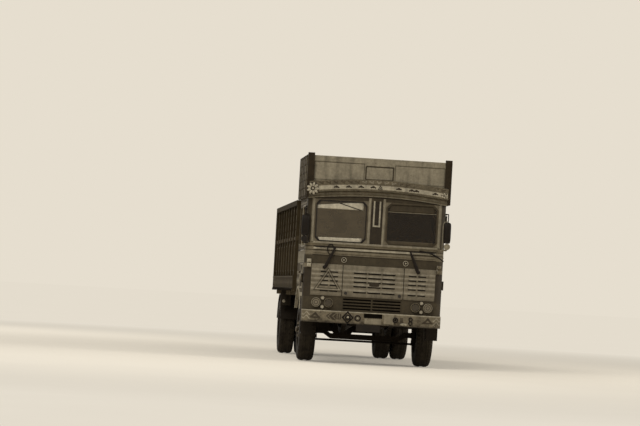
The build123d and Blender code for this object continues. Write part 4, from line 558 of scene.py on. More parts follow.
def bumperMotifs(finish):
    # a hollow triangle near each end, chevrons and bars on the lorry's right half, a patch on its left
    x, z = finish.x.magnitude(), finish.z
    triangle = (filledTriangle(finish, 0.852, 0.745) - filledTriangle(finish, 0.805, 0.772)).clamped()
    arm = (x - marks["chevronX"] + (z - marks["chevronZ"]).magnitude() * 1.1).magnitude()
    chevron = arm.below(marks["chevronHalf"], 0.006) * z.within(0.728, 0.852)
    chevron = chevron + arm.near(marks["secondArm"], 0.012, 0.006) * z.within(*marks["barHeight"])
    bars = (x - 0.52).repeats(marks["barPitch"]).below(0.010)
    bars = bars * x.within(*marks["bars"]) * z.within(*marks["barHeight"])
    patch = finish.x.within(*marks["patch"]) * z.within(0.73, 0.83) * 0.8
    every = (triangle + (chevron + bars) * finish.x.below(0.0) + patch).clamped()
    return every * finish.y.within(-4.3, -4.16) * 0.85, "dark"


def bumperEnds(finish):
    # pale scrolls at both ends of the bumper: both edges of a wave, |z - z0 + h * sin(k * |x|)| near 0.03
    x = finish.x.magnitude()
    wave = ((x * marks["waves"]).wave() * marks["waveHeight"] + finish.z - marks["chevronZ"]).magnitude()
    scroll = wave.near(0.030, 0.011, 0.006)
    return scroll * x.above(marks["scrollFrom"], 0.02) * finish.y.within(-4.3, -4.10) * 0.7, "creamBright"


def bumperSootAndShade(finish):
    # soot and scraped patches, with painted shade that deepens towards the foot of the bumper
    patch = finish.noise(8.0, 8.0, (1, 1, 1.6), 0.75)
    return ((patch - 0.455) * 5.0 + (0.745 - finish.z) * 3.0).clamped() * 0.85, "dark"


def bumperBlack(finish):
    # the blank number plate and the recess are black; the foot of the bumper is darkened as painted shade
    plate = finish.x.within(-0.255, 0.155) * finish.z.within(0.50, 0.679)
    return (plate + finish.z.below(0.70, 0.02) * 0.5).clamped(), "black"


slotRows = {"z": (1.209, 1.304, 1.380, 1.453, 1.528), "shadowAt": -0.010, "shadowReach": 0.026,
            "ridgeAt": 0.034, "ridgeReach": 0.020}


def slotBands(finish, shift, reach):
    # soft bands along every pressed row of slots: 1 in the middle, 0 at reach
    bands = [(1 - ((finish.z - (row + shift)) / reach).magnitude()).clamped() for row in slotRows["z"]]
    return sum(bands, 0.0)


def slotShadows(finish):
    # each row lies in its own soft shadow, and the foot of the panels is darker
    rows = slotBands(finish, slotRows["shadowAt"], slotRows["shadowReach"])
    foot = finish.z.below(1.16, 0.06) * 0.5
    return (rows * (0.22 + finish.noise(12.0, 5.0) * 0.5) + foot).clamped() * finish.z.above(1.13), "brown"


def slotRidgeHighlights(finish):
    # a painted highlight: a paler band along the pressed ridge over each row
    return (slotBands(finish, slotRows["ridgeAt"], slotRows["ridgeReach"]) * 0.55).clamped(), "creamBright"


def sideScrolls(finish):
    # pale lozenges down the side of the cab: bands of z cut by a net of |z - stripe| + |y - stripe|
    z, y = finish.z, finish.y
    net = ((z.repeats(0.16) - 0.04) + (y.repeats(0.18) - 0.045)).above(0.012, 0.010) * y.above(frontEdge[1])
    bands = z.within(1.90, 1.99) + z.within(1.66, 1.80) + z.within(1.30, 1.52) * y.above(-3.02)
    bands = bands + z.within(2.66, 2.74)
    return (net * bands).clamped() * 0.9, "creamBright"


archLip = {"radius": (0.697, 0.743)}


def archLips(finish):
    # the lip of the wheel arch is painted pale: distance from the middle of the wheel
    _, wheelY, wheelZ = pivots["front_wheel_left_spin"]
    along, high = finish.y - wheelY, finish.z - wheelZ
    return ((along * along + high * high) ** 0.5).within(*archLip["radius"], 0.006), "creamBright"


def browStains(finish):
    # soot in blotches over the brow
    return ((finish.noise(7.0, 7.0, roughness=0.7) - 0.42) * 2.4).clamped() * 0.5, "brown"


signLines = {"z": 3.21, "outerMiddle": 0.6775, "outerHalf": 0.4175, "outerTall": 0.15, "innerHalf": 0.230,
             "innerTall": 0.11}


def lineFrame(across, high, half, tall, line):
    # the four edges of a rectangle, from the distances to its two middle lines
    return across.near(half, line) * high.below(tall) + high.near(tall, line) * across.below(half)


def signFrames(finish):
    # dark lines round the two outer panels and the smaller middle one
    x, high = finish.x.magnitude(), (finish.z - signLines["z"]).magnitude()
    fromOuter = (x - signLines["outerMiddle"]).magnitude()
    outer = lineFrame(fromOuter, high, signLines["outerHalf"], signLines["outerTall"], 0.009)
    inner = lineFrame(x, high, signLines["innerHalf"], signLines["innerTall"], 0.012)
    return (outer * 0.55 + inner).clamped(), "umber"


warning = {"apexX": -0.759, "apexZ": 1.586, "baseZ": 1.218, "half": 0.230, "line": 0.007, "innerLine": 0.008,
           "wide": 0.034}


def triangleOutline(finish):
    # dark lines along both sides of the triangular frame: distance to its three edges, the greatest counts
    height, half = warning["apexZ"] - warning["baseZ"], warning["half"]
    slope = math.hypot(height, half)
    flank = (finish.x - warning["apexX"]).magnitude() * (height / slope)
    flank = flank + (finish.z - warning["apexZ"]) * (half / slope)
    reach = flank.atLeast(warning["baseZ"] - finish.z)
    lines = reach.near(0.0, warning["line"]) + reach.near(-warning["wide"], warning["innerLine"])
    return lines.clamped() * 0.75, "dark"


lampPlace = {"inner": 0.730, "outer": 0.940, "z": 1.010}


def lampRings(finish):
    # rings of the bowl seen through the outer glass: radius from each lamp's middle
    across, high = finish.x.magnitude() - lampPlace["outer"], finish.z - lampPlace["z"]
    radius = (across * across + high * high) ** 0.5
    rings = radius.within(0.022, 0.036, 0.006) + radius.above(0.057, 0.006)
    return (rings * radius.below(0.09)).clamped() * 0.8, "dark"


windscreen = {"x": 0.595, "z": 2.380, "halfWidth": 0.430, "halfHeight": 0.350}


def sealEdges(finish):
    # the outer half of each seal is painted over with the cab: distance out from the screen's edge
    x, z = finish.x.magnitude(), finish.z
    aside = (x - windscreen["x"]).magnitude() - windscreen["halfWidth"]
    out = aside.atLeast((z - windscreen["z"]).magnitude() - windscreen["halfHeight"])
    return out.above(-0.004, 0.003) * z.above(2.0) * x.above(0.15), "brown"


cabFrontPaint = agedPaint("cabFrontPaint", "creamShade", frontBands, dust=0.16)
cabSidePaint, doorPaint = (
    agedPaint(name, "brown", bands, [sideScrolls, archLips], dust=0.12, gloss=0.08, roughness=0.75)
    for name, bands in (("cabSidePaint", sideBands), ("doorPaint", doorBands))
)
grillePaint = agedPaint("grillePaint", "creamWorn", [("umber", {"z": (0.85, 1.125)})],
                        [slotRidgeHighlights, slotShadows, triangleOutline], dust=0.08, streaks=0.35)
trimBands = [
    ("tan", {"z": (1.80, 2.0)}),
    ("creamShade", {"z": (1.815, 1.877)}),
    ("creamBright", {"z": (1.895, 1.93)}),
    ("umber", {"z": (1.878, 1.894)}),
    ("black", {"xs": (0.09, 1.2), "z": (2.0, 2.9)}),
    ("umber", {"x": (0.09, 1.2), "z": (2.0, 2.9)}),
]
trimPaint = agedPaint("trimPaint", "creamBright", trimBands, [sealEdges], dust=0.0, chips=0.1, streaks=0.2)
browBands = [
    ("creamBright", {"y": (-4.30, -4.184), "z": (2.70, 3.10)}),
    ("tan", {"y": (-4.186, -4.15), "z": (2.955, 3.20)}),
]
browPaint = agedPaint("browPaint", "cream", browBands, [browStains], dust=0.08)
signPaint = agedPaint("signPaint", "cream", patterns=[signFrames], dust=0.1, streaks=0.55)
# the pale band along the top edge of the bumper is a painted highlight
bumperPaint = agedPaint("bumperPaint", "creamShade", [("creamBright", {"z": (0.866, 0.90)})],
                        [bumperSootAndShade, bumperEnds, bumperMotifs, bumperBlack], dust=0.03, chips=0.9)
lorryPaint = agedPaint("lorryPaint", "black", dust=0.05, gloss=0.12)
blackPaint = agedPaint("blackPaint", "black", dust=0.02, roughness=0.55, streaks=0.2, chips=0.1, gloss=0.15)
mirrorPaint = agedPaint("mirrorPaint", "black", [("cream", {"x": (1.145, 1.255), "z": (2.00, 2.11)})],
                        dust=0.02, roughness=0.5, streaks=0.2, chips=0.1)
wheelPaint = agedPaint("wheelPaint", "dark", dust=0.12, chips=0.8)
castIron = agedPaint("castIron", "black", dust=0.05, roughness=0.75, gloss=0.12)
cargoPaint = agedPaint("cargoPaint", "umber", [("brown", {"z": (2.05, 2.13)})], dust=0.10, streaks=0.8,
                       gloss=0.04, roughness=0.85)
tailPaint = agedPaint("tailPaint", "umber", tailBands, dust=0.15)
timberDeck = boards("timberDeck", "timber", 0.18)
carrierPaint = agedPaint("carrierPaint", "umber", [("dark", {"y": (-4.30, -4.125)})], dust=0.1, gloss=0.1)
steel = wornMetal("steel", tone(112, 104, 90), 0.4, 0.7)
tyreRubber = dustyRubber("tyreRubber")
sealRubber = dustyRubber("sealRubber")
# the brown film over the driver's screen is a painted reflection
screenGlass = windowGlass("screenGlass", "brown", 0.90, "dark", 0.50)
sideGlass = windowGlass("sideGlass", "brown", 0.45)
seatCloth = cloth("seatCloth", "brown", "umber")
dashPlastic = agedPaint("dashPlastic", "dark", dust=0.05, roughness=0.6, chips=0.1)
lensBands = [
    ("creamBright", {"xs": (0.79, 0.87)}),
    ("umber", {"xs": (0.65, 0.79)}),
    ("black", {"xs": (0.40, 0.50)}),
    ("rust", {"y": (3.9, 4.3)}),
]
lampGlass = agedPaint("lampGlass", "creamShade", lensBands, [lampRings], dust=0.05, roughness=0.12, chips=0.0,
                      streaks=0.2, gloss=0.5)
lampShell = agedPaint("lampShell", "creamShade", [("umber", {"xs": (0.60, 0.835)})], dust=0.02, roughness=0.4,
                      chips=0.2, gloss=0.4)

dress(cabFrontPaint, "cab_front")
dress(cabSidePaint, "cab_sides", "cab_back", "cab_roof")
dress(doorPaint, "door_left", "door_right")
dress(grillePaint, "grilles")
dress(trimPaint, "front_trim")
dress(browPaint, "brow")
dress(signPaint, "sign_board")
dress(bumperPaint, "front_bumper")
dress(lorryPaint, "chassis_frame", "tanks_and_silencer", "steps_and_mudguards", "cab_floor", "hinges")
dress(mirrorPaint, "mirrors_and_wipers")
dress(wheelPaint, "front_wheel_left", "front_wheel_right", "rear_wheel_left", "rear_wheel_right",
      "spare_wheel")
dress(castIron, "engine_block", "front_axle", "rear_axle", "knuckle_left", "knuckle_right", "tie_rod",
      "leaf_springs", "propeller_shaft")
dress(cargoPaint, "cargo_sides", "headboard")
dress(tailPaint, "tailgate", "tail_door_left", "tail_door_right")
dress(timberDeck, "cargo_floor", "cargo_bearers")
dress(carrierPaint, "roof_carrier")
dress(lampShell, "headlamps")
dress(screenGlass, "cab_glass")
dress(sideGlass, "door_glass_left", "door_glass_right")
dress(dashPlastic, "dashboard")
dress(lampGlass, "lamp_lenses")
dress(tyreRubber, "front_tyre_left", "front_tyre_right", "rear_tyres_left", "rear_tyres_right", "spare_tyre")
print("frame dressed")

# Tyres: a rounded section with a zigzag tread and shoulder lugs
tyre = {"radius": 0.525, "beadRadius": 0.259, "halfWidth": 0.139, "around": 308, "section": 56, "wrap": 0.80,
        "lugs": 44, "depth": 0.011, "zigzag": 0.007, "grooves": (-0.062, -0.021, 0.021, 0.062),
        "grooveHalf": 0.0062, "shoulder": 0.088, "crown": 0.478, "ribs": 420, "ribHeight": 0.0015,
        "twinHalf": 0.16, "sharp": 25}


def step(value, level, soft):
    # a smooth rise from 0 to 1 about the level
    return 1 / (1 + np.exp(-(value - level) / soft))


def treadedTyre(middle, axis):
    # section: half width * |sin a|^0.62 and, between bead and crown, |cos a|^0.42; the tread cuts the crown
    angle = np.arange(tyre["around"]) * 2 * np.pi / tyre["around"]
    a = np.linspace(-tyre["wrap"] * np.pi, tyre["wrap"] * np.pi, tyre["section"])
    across = tyre["halfWidth"] * np.sign(np.sin(a)) * np.abs(np.sin(a)) ** 0.62
    waist = (tyre["radius"] + tyre["beadRadius"]) / 2
    swing = np.sign(np.cos(a)) * np.abs(np.cos(a)) ** 0.42
    radius = waist + (tyre["radius"] - waist) * swing
    across = np.where(swing < -0.75, across * 0.92, across)
    zigzag = tyre["zigzag"] * (np.abs((angle * tyre["lugs"] / np.pi) % 2 - 1)[None, :] - 0.5)
    place = across[:, None] + zigzag
    grooves = sum(np.exp(-(((place - groove) / tyre["grooveHalf"]) ** 4)) for groove in tyre["grooves"])
    shoulder = step(np.abs(across), tyre["shoulder"], 0.003)[:, None]
    lug = (np.cos(angle * tyre["lugs"]) < -0.1)[None, :] * shoulder
    crown = step(radius, tyre["crown"], 0.006)[:, None]
    rings = tyre["ribHeight"] * np.sin(radius * tyre["ribs"])[:, None] * (1 - crown)
    depth = tyre["depth"] * np.clip(grooves + lug * 0.9, 0, 1) * crown
    reach = np.minimum(radius[:, None] - depth, tyre["radius"])
    axis, first, second = frameOf(axis)
    ring = np.cos(angle)[:, None] * first + np.sin(angle)[:, None] * second
    points = np.array(middle) + (across[:, None] + rings)[..., None] * axis + reach[..., None] * ring[None]
    return points.reshape(-1, 3), gridFaces(tyre["section"], tyre["around"], True, True)


def makeTyre(name, middles, axis, body, node):
    shells = [treadedTyre(middle, axis) for middle in middles]
    makePiece(name, shells, tyreRubber, body, [node], tyre["sharp"])


for side, sign in sides:
    middle = pivots[f"front_wheel_{side}_spin"]
    makeTyre(f"tread_front_{side}", [middle], (1, 0, 0), f"front_wheel_{side}", f"front_tyre_{side}")
    x, y, z = pivots[f"rear_wheels_{side}_spin"]
    pair = [(x + sign * shift, y, z) for shift in (-tyre["twinHalf"], tyre["twinHalf"])]
    makeTyre(f"tread_rear_{side}", pair, (1, 0, 0), f"rear_wheels_{side}", f"rear_tyres_{side}")
makeTyre("tread_spare", [corners("spare_tyre").mean(0)], upward, "lorry", "spare_tyre")
print("tyres made")

# Front of the cab: what follows is let into the flat front panel, the grille or the fascia by a millimetre
letIn = 0.001
front = {"faceY": corners("brow")[1][1], "grilleY": -4.084}
front["seatY"] = front["faceY"] + letIn
arch = {"sag": 0.08, "halfWidth": corners("brow")[1][0]}
arch["radius"] = (arch["halfWidth"] ** 2 + arch["sag"] ** 2) / (2 * arch["sag"])


def archDrop(x):
    # how far the brow's arc lies under its crown at x
    return arch["radius"] - np.sqrt(arch["radius"] ** 2 - np.array(x, float) ** 2)


def alongArch(x, y, z):
    # a path across the front that follows the brow's arc
    return np.stack([x, np.full_like(x, y), z - archDrop(x)], -1)


def slab(low, high, edge=0.004):
    # a plate whose front edges are eased: a closed profile carried from one end to the other
    (x0, y0, z0), (x1, y1, z1) = low, high
    deep, tall = y1 - y0, z1 - z0
    high, proud = np.array([(0, 0), (0, deep - edge), (edge, deep), (tall - edge, deep), (tall, deep - edge),
                            (tall, 0)]).T
    ends = np.array([x0, x0 + edge, x1 - edge, x1])
    inset = np.array([edge, 0, 0, edge])[:, None]
    points = np.stack(np.broadcast_arrays(
        ends[:, None], y1 - np.minimum(proud, deep - inset), z0 + np.clip(high, inset, tall - inset)
    ), -1)
    return points.reshape(-1, 3), gridFaces(4, 6, False, True) + endCaps(4, 6)


trimPale = agedPaint("trimPale", "cream", dust=0.12, streaks=0.45)
trimBright = agedPaint("trimBright", "creamBright", dust=0.1, streaks=0.35)
motifPaint = agedPaint("motifPaint", "dark", dust=0.05)
petalBands = [("cream", {"x": (-0.30, 0.34), "z": (2.9, 3.2)}), ("tan", {"x": (0.52, 0.98), "z": (2.9, 3.2)})]
petalPaint = agedPaint("petalPaint", "brown", petalBands, dust=0.05)

mouldings = {"uprights": (
    # place, y, top, proud
    (1.062, front["faceY"] + 0.005, 2.775, 0.019), (0.121, front["seatY"], 2.795, 0.014)),
    "low": 2.022, "width": 0.046, "ledgeHalf": 1.05, "ledgeZ": 2.006}
shells = []
for _, sign in reversed(sides):
    for x, y, top, proud in mouldings["uprights"]:
        ends = [(sign * x, y, z) for z in (mouldings["low"], top)]
        shells.append(bead(*ends, mouldings["width"], proud, steps=9))
ledge = [(-0.022, 0), (-0.022, 0.018), (-0.012, 0.026), (0.008, 0.026), (0.016, 0.018), (0.020, 0)]
ends = [(x, front["seatY"], mouldings["ledgeZ"]) for x in (-mouldings["ledgeHalf"], mouldings["ledgeHalf"])]
shells.append(moulding(ends, ledge, ahead))
makePiece("screen_mouldings", shells, trimPale)

# Narrow dark beads between the belt mouldings and a drip rail over the screens
belt = {"half": 1.04, "heights": (1.803, 1.945), "width": 0.012, "proud": 0.007, "railHalf": 1.06,
        "railZ": 2.812}
shells = []
for z in belt["heights"]:
    ends = [(x, front["seatY"], z) for x in (-belt["half"], belt["half"])]
    shells.append(bead(*ends, belt["width"], belt["proud"]))
rail = alongArch(np.linspace(-belt["railHalf"], belt["railHalf"], 41), front["seatY"], belt["railZ"])
shells.append(moulding(rail, halfRound(0.020, 0.016), ahead))
makePiece("belt_beads", shells, motifPaint)

# Painted light of the sky across the top of the driver's screen, a blank strip stuck along its foot, and dark
# bands with a thin rail on the other one
strips = {"x": (-1.012, -0.178), "top": (2.582, 2.722), "foot": (2.038, 2.112), "y": -4.0625, "slope": 0.085,
          "footSlope": 0.012, "bandX": (0.21, 0.98), "bandTop": (2.592, 2.716), "bandFoot": (2.044, 2.105),
          "railX": (0.175, 1.015), "railY": -4.0645, "railZ": 2.586, "thickness": 0.002}


def slopedSheet(x0, x1, heights, slope=0.0, columns=24, rows=6):
    # z = z0 + v * (z1 - z0 - slope * (1 - u)): the upper edge falls to the left; on the top strip this falling
    # edge is where the brow's painted shadow begins
    z0, z1 = heights
    u, v = np.meshgrid(np.linspace(0, 1, columns), np.linspace(0, 1, rows), indexing="ij")
    z = z0 + v * (z1 - z0 - slope * (1 - u))
    points = np.stack([x0 + (x1 - x0) * u, np.full_like(u, strips["y"]), z], -1)
    return points.reshape(-1, 3), gridFaces(columns, rows)


def diagonalStroke(finish):
    # a dark line that falls to the right across the painted sky light at the top of the screen
    offset = (finish.z - 2.680) + (finish.x + 0.62) * 0.275
    return offset.near(0.0, 0.009) * finish.x.within(-0.66, -0.25), "black"


stripPaint = agedPaint("stripPaint", "paper", patterns=[diagonalStroke], dust=0.0, streaks=0.3, chips=0.2)
shadeBand = agedPaint("shadeBand", "umber", [("brown", {"z": (2.0, 2.2)})], dust=0.1)
x0, x1 = strips["x"]
# the upper sheet is painted light of the sky, its upper edge sloped along the brow's painted shadow; the lower
# one is a blank sticker
blank = [slopedSheet(x0 + 0.008, x1 - 0.05, strips["top"], strips["slope"]),
         slopedSheet(x0 + 0.05, x1 - 0.05, strips["foot"], strips["footSlope"])]
makeSheet("sun_strip", blank, stripPaint, strips["thickness"])
bands = [slopedSheet(*strips["bandX"], strips[key]) for key in ("bandTop", "bandFoot")]
makeSheet("screen_bands", bands, shadeBand, strips["thickness"])
rail = [(x, strips["railY"], strips["railZ"]) for x in strips["railX"]]
makePiece("shade_rail", [tube(rail, 0.005, 10, flat=upward)], trimPale)

# Round plain badges over the two grille seams and a blank oval between the slots
badge = {"places": (-0.508, 0.530), "z": 1.738, "radius": 0.038, "ring": 0.040, "ovalX": 0.022,
         "ovalZ": 1.345, "ovalWidth": 0.085, "ovalHeight": 0.085 / 1.9}
rings, discs = [], []
for x in badge["places"]:
    centre = (x, front["faceY"], badge["z"])
    rings.append(torus(centre, ahead, 0.003, badge["ring"], 0.006, 0.009))
    trefoil = lambda t: 0.014 + 0.004 * np.cos(3 * t)
    rings.append(dome(trefoil, (x, front["faceY"] - 0.006, badge["z"]), ahead, 0.008))
    discs.append(button(centre, badge["radius"], 0.007))
oval = superellipse(badge["ovalWidth"], badge["ovalHeight"], 4)
discs.append(dome(oval, (badge["ovalX"], front["grilleY"] - letIn, badge["ovalZ"]), ahead, 0.010))
makePiece("badge_rings", rings, trimBright)
makePiece("badge_discs", discs, motifPaint)

# Ribbed screen behind the lower grille: y = y0 + rib * cos(2 pi x / pitch)
screen = {"x": 0.52, "low": 0.895, "high": 1.122, "y": -4.026, "pitch": 0.012, "rib": 0.0016, "columns": 521}
u, v = np.meshgrid(np.linspace(-1, 1, screen["columns"]), np.linspace(0, 1, 3), indexing="ij")
y = screen["y"] + screen["rib"] * np.cos(2 * np.pi * screen["x"] * u / screen["pitch"])
points = np.stack([screen["x"] * u, y, screen["low"] + (screen["high"] - screen["low"]) * v], -1)
ribs = (points.reshape(-1, 3), gridFaces(screen["columns"], 3))
makePiece("radiator_screen", [ribs], castIron, outward=False)

# Corner lamps: a rim and two ribbed lenses on each block
lampCorner = {"x": 1.092, "half": 0.036, "low": 1.598, "high": 1.727, "y": -4.092, "gap": 0.006,
              "crown": 0.012, "ribs": 4, "ribHeight": 0.0011, "rimWidth": 0.010, "rimProud": 0.007}


def ribbedLens(x0, x1, z0, z1, y):
    # y = y0 - crown * (1 - u^4)(1 - v^4) - rib * cos(pi ribs v)(1 - u^8)(1 - v^8), u and v from -1 to 1
    u, v = np.meshgrid(np.linspace(-1, 1, 15), np.linspace(-1, 1, 8 * lampCorner["ribs"] + 1), indexing="ij")
    rise = lampCorner["crown"] * (1 - u ** 4) * (1 - v ** 4)
    ripple = lampCorner["ribHeight"] * np.cos(np.pi * lampCorner["ribs"] * v)
    rise = rise + ripple * (1 - u ** 8) * (1 - v ** 8)
    points = np.stack([x0 + (x1 - x0) * (u + 1) / 2, y - rise, z0 + (z1 - z0) * (v + 1) / 2], -1)
    return points.reshape(-1, 3), gridFaces(*u.shape)


lenses, rims = [], []
low, high = lampCorner["low"], lampCorner["high"]
middle = (low + high) / 2
for _, sign in reversed(sides):
    x0, x1 = sorted(sign * (lampCorner["x"] + shift) for shift in (-lampCorner["half"], lampCorner["half"]))
    for z0, z1 in ((low, middle - lampCorner["gap"]), (middle + lampCorner["gap"], high)):
        lenses.append(ribbedLens(x0, x1, z0, z1, lampCorner["y"] - 0.002))
    rimY = lampCorner["y"] + letIn
    ends = [(x0, rimY, low), (x1, rimY, high)]
    rims.append(rectangle(*ends, lampCorner["rimWidth"], lampCorner["rimProud"], ahead))
paleLens = agedPaint("paleLens", "creamBright", [("tan", {"x": (0.9, 1.3)})], dust=0.1, roughness=0.18,
                     chips=0.0, streaks=0.2)
makeSheet("corner_lenses", lenses, paleLens)
makePiece("corner_rims", rims, steel)

# Headlamps: prismatic domed glass and stepped rims, pale outside and dull inside; rims round the small lamps
headlamp = {"faceY": -4.104, "glassRadius": 0.0655, "glassCrown": 0.016, "prisms": 26}
rimProfile = [(0.000, 0.0785), (0.010, 0.0785), (0.014, 0.0765), (0.016, 0.0725), (0.013, 0.0685),
              (0.006, 0.0660), (0.000, 0.0660)]
smallLamp = {"x": 0.832, "heights": (0.940, 1.087), "radius": 0.030}
lampRimPaint = agedPaint("lampRimPaint", "cream", dust=0.15, chips=0.7)
innerRimPaint = agedPaint("innerRimPaint", "tan", dust=0.1, chips=0.5)
lensGlass = agedPaint("lensGlass", "tan", [("umber", {"xs": (0.60, 0.79)})], [lampRings], dust=0.04,
                      roughness=0.12, chips=0.0, streaks=0.2, gloss=0.5)


def prismatic(s, t):
    # upright ribs that fade to the edge
    return 1 + 0.10 * np.cos(headlamp["prisms"] * s * np.cos(t)) * (1 - s ** 2)


glasses, smallRims, rims = [], [], {"inner": [], "outer": []}
for _, sign in reversed(sides):
    for key in rims:
        x = sign * lampPlace[key]
        glasses.append(button((x, headlamp["faceY"] + 0.018, lampPlace["z"]), headlamp["glassRadius"],
                              headlamp["glassCrown"], rings=15, ripple=prismatic, power=1.0))
        centre = (x, headlamp["faceY"] + 0.002, lampPlace["z"])
        rims[key].append(turned(rimProfile, centre, ahead, 64, wrap=True))
    for z in smallLamp["heights"]:
        centre = (sign * smallLamp["x"], front["faceY"] - 0.020, z)
        smallRims.append(torus(centre, ahead, 0.0, smallLamp["radius"], 0.004, 0.009, 36))
makePiece("headlamp_glass", glasses, lensGlass)
makePiece("headlamp_rims", rims["outer"], lampRimPaint)
makePiece("headlamp_rims_inner", rims["inner"], innerRimPaint)
makePiece("small_lamp_rims", smallRims, steel)

# Brow: dark lozenges on the fascia, a plain triangle at its crown, beads along both edges
fascia = {"z": 2.9775, "y": corners("brow")[0][1],
          "places": (-0.71, -0.505, -0.30, -0.095, 0.335, 0.55, 0.63, 0.95), "crownX": 0.022,
          "triangle": [(-0.034, 2.945), (0.034, 2.945), (0.0, 3.008)]}


def lozenge(x, z, y, width, height, proud, order=1.0):
    return dome(superellipse(width, height, order), (x, y, z), ahead, proud, rings=5)


shells = []
for x in fascia["places"]:
    z = fascia["z"] - float(archDrop(x))
    shells.append(lozenge(x, z + 0.004, fascia["y"], 0.030, 0.021, 0.006, 1.5))
    for shift in (-0.034, 0.034):
        shells.append(lozenge(x + shift, z - 0.006, fascia["y"], 0.017, 0.013, 0.005, 1.5))
triangle = [(fascia["crownX"] + x, fascia["y"] + letIn, z) for x, z in fascia["triangle"]]
shells.append(moulding(triangle, halfRound(0.010, 0.006), ahead, loop=True))
shells.append(lozenge(fascia["crownX"], 2.966, fascia["y"], 0.010, 0.012, 0.005))
makePiece("fascia_motifs", shells, motifPaint)

browBeads = {"half": 1.15, "lines": (
    # height at the crown, y, width
    (3.018, -4.195, 0.012), (2.937, -4.195, 0.012), (3.088, -4.184, 0.014), (2.845, -4.090, 0.018),
    (2.895, -4.090, 0.018))}
shells = []
x = np.linspace(-browBeads["half"], browBeads["half"], 61)
for z, y, width in browBeads["lines"]:
    shells.append(moulding(alongArch(x, y + letIn, z), halfRound(width, width * 0.55), ahead))
makePiece("brow_beads", shells, agedPaint("beadPaint", "tan", dust=0.1))

# Petals along the moulding over the fascia: pairs of small leaves that lean to the middle
petal = {"half": 1.08, "pitch": 0.12, "y": -4.183, "z": 3.060, "lean": 0.5, "spread": 0.9, "aside": 0.020,
         "long": 0.026}
leaf = lambda t: petal["long"] * np.abs(np.cos(t)) ** 0.7 * (1 - 0.62 * np.sin(t) ** 2) + 0.004
shells = []
for x in np.arange(-petal["half"], petal["half"] + 0.01, petal["pitch"]):
    z = petal["z"] - float(archDrop(x))
    lean = -petal["lean"] * np.sign(x) if abs(x) > 0.03 else 0.0
    for side in (-1, 1):
        turn = lean + side * petal["spread"]
        shells.append(dome(leaf, (x + side * petal["aside"], petal["y"], z), ahead, 0.006,
                           right=(math.cos(turn), 0, math.sin(turn)), rings=4))
    shells.append(button((x, petal["y"], z), 0.008, 0.008, rings=4))
makePiece("brow_petals", shells, petalPaint)


def rosette(centre, radius, petals, proud, out=ahead):
    # petals round a middle, one each 2 pi / petals: ellipses of half length 0.33 radius
    right = np.array((1.0, 0, 0))
    up = np.cross(right, out)
    outline = superellipse(radius * 0.33, 0.56 * np.pi * radius / petals, 2)
    parts = []
    for turn in np.arange(petals) * 2 * np.pi / petals:
        along = math.cos(turn) * right + math.sin(turn) * up
        parts.append(dome(outline, np.array(centre) + along * radius * 0.66, out, proud, right=along, rings=6))
    parts.append(button(centre, radius * 0.17, proud * 1.2, out, rings=6))
    return parts


# A large rosette on a boss at the brow's right end, a small one on a disc at its left end
browEnd = {"bossX": -1.104, "bossY": -4.088, "bossZ": 2.900, "discX": 1.095, "discZ": 2.906,
           "discY": -4.194, "bossFace": -4.2005, "discFace": -4.1975}
bossProfile = [(0.0, 0.0005), (0.0, 0.094), (0.100, 0.102), (0.109, 0.098), (0.112, 0.088), (0.112, 0.0005)]
discs = [turned(bossProfile, (browEnd["bossX"], browEnd["bossY"], browEnd["bossZ"]), ahead, 56),
         button((browEnd["discX"], browEnd["discY"], browEnd["discZ"]), 0.050, 0.004)]
makePiece("brow_discs", discs, motifPaint)
shells = rosette((browEnd["bossX"], browEnd["bossFace"], browEnd["bossZ"]), 0.104, 9, 0.010)
shells += rosette((browEnd["discX"], browEnd["discFace"], browEnd["discZ"]), 0.048, 5, 0.006)
makePiece("brow_ends", shells, trimBright)
print("front dressed")

# Wipers: tapered arms with a hinge cap, a spare loop on one side and a washer pipe on the other
wiper = {"arms": ((-0.834, -0.657), (0.750, 0.587)), "foot": 1.600, "top": 1.935, "y": -4.120, "depth": 0.018,
         "widths": (0.026, 0.054, 0.060, 0.054, 0.050, 0.046, 0.044, 0.042, 0.038, 0.032, 0.014),
         "loopX": -0.742, "loopZ": 1.905, "loopHalf": (0.052, 0.085), "loopY": -4.106}


def taperedBar(start, end, widths, depth, y, count=10):
    # a bar in the plane of the front: width goes from the first to the last value, with a rounded back
    start, end = np.array(start, float), np.array(end, float)
    path = start + (end - start) * np.linspace(0, 1, len(widths))[:, None]
    run = (end - start) / np.linalg.norm(end - start)
    aside = np.array((-run[1], run[0]))
    t = np.arange(count) * 2 * np.pi / count
    cross = path[:, None] + np.array(widths)[:, None, None] / 2 * np.cos(t)[None, :, None] * aside
    deep = y - depth / 2 * np.sin(t)[None, :] * np.ones((len(widths), 1))
    points = np.stack([cross[..., 0], deep, cross[..., 1]], -1)
    return points.reshape(-1, 3), gridFaces(len(widths), count, False, True) + endCaps(len(widths), count)


def ovalLoop(x, y, z, width, height, count, radius):
    # a closed tube along (x + width * cos t, y, z + height * sin t)
    t = np.linspace(0, 2 * np.pi, count + 1)[:-1]
    path = np.stack([x + width * np.cos(t), np.full_like(t, y), z + height * np.sin(t)], -1)
    return tube(path, radius, loop=True)


shells = []
for foot, top in wiper["arms"]:
    shells.append(taperedBar((foot, wiper["foot"] - 0.03), (top, wiper["top"] + 0.02), wiper["widths"],
                             wiper["depth"], wiper["y"]))
    shells.append(button((foot, wiper["y"] + 0.002, wiper["foot"]), 0.030, 0.016))
shells.append(ovalLoop(wiper["loopX"], wiper["loopY"], wiper["loopZ"], *wiper["loopHalf"], 24, 0.009))
# the pipe leaves the panel by the fourth power of its length and sags by the power 2.2
u = np.linspace(0, 1, 25)
pipe = np.stack([0.745 + 0.415 * u, -4.104 + 0.016 * u ** 4, 1.962 - 0.03 * u - 0.125 * u ** 2.2], -1)
shells.append(tube(pipe, 0.011))
makePiece("wiper_bars", shells, blackPaint)

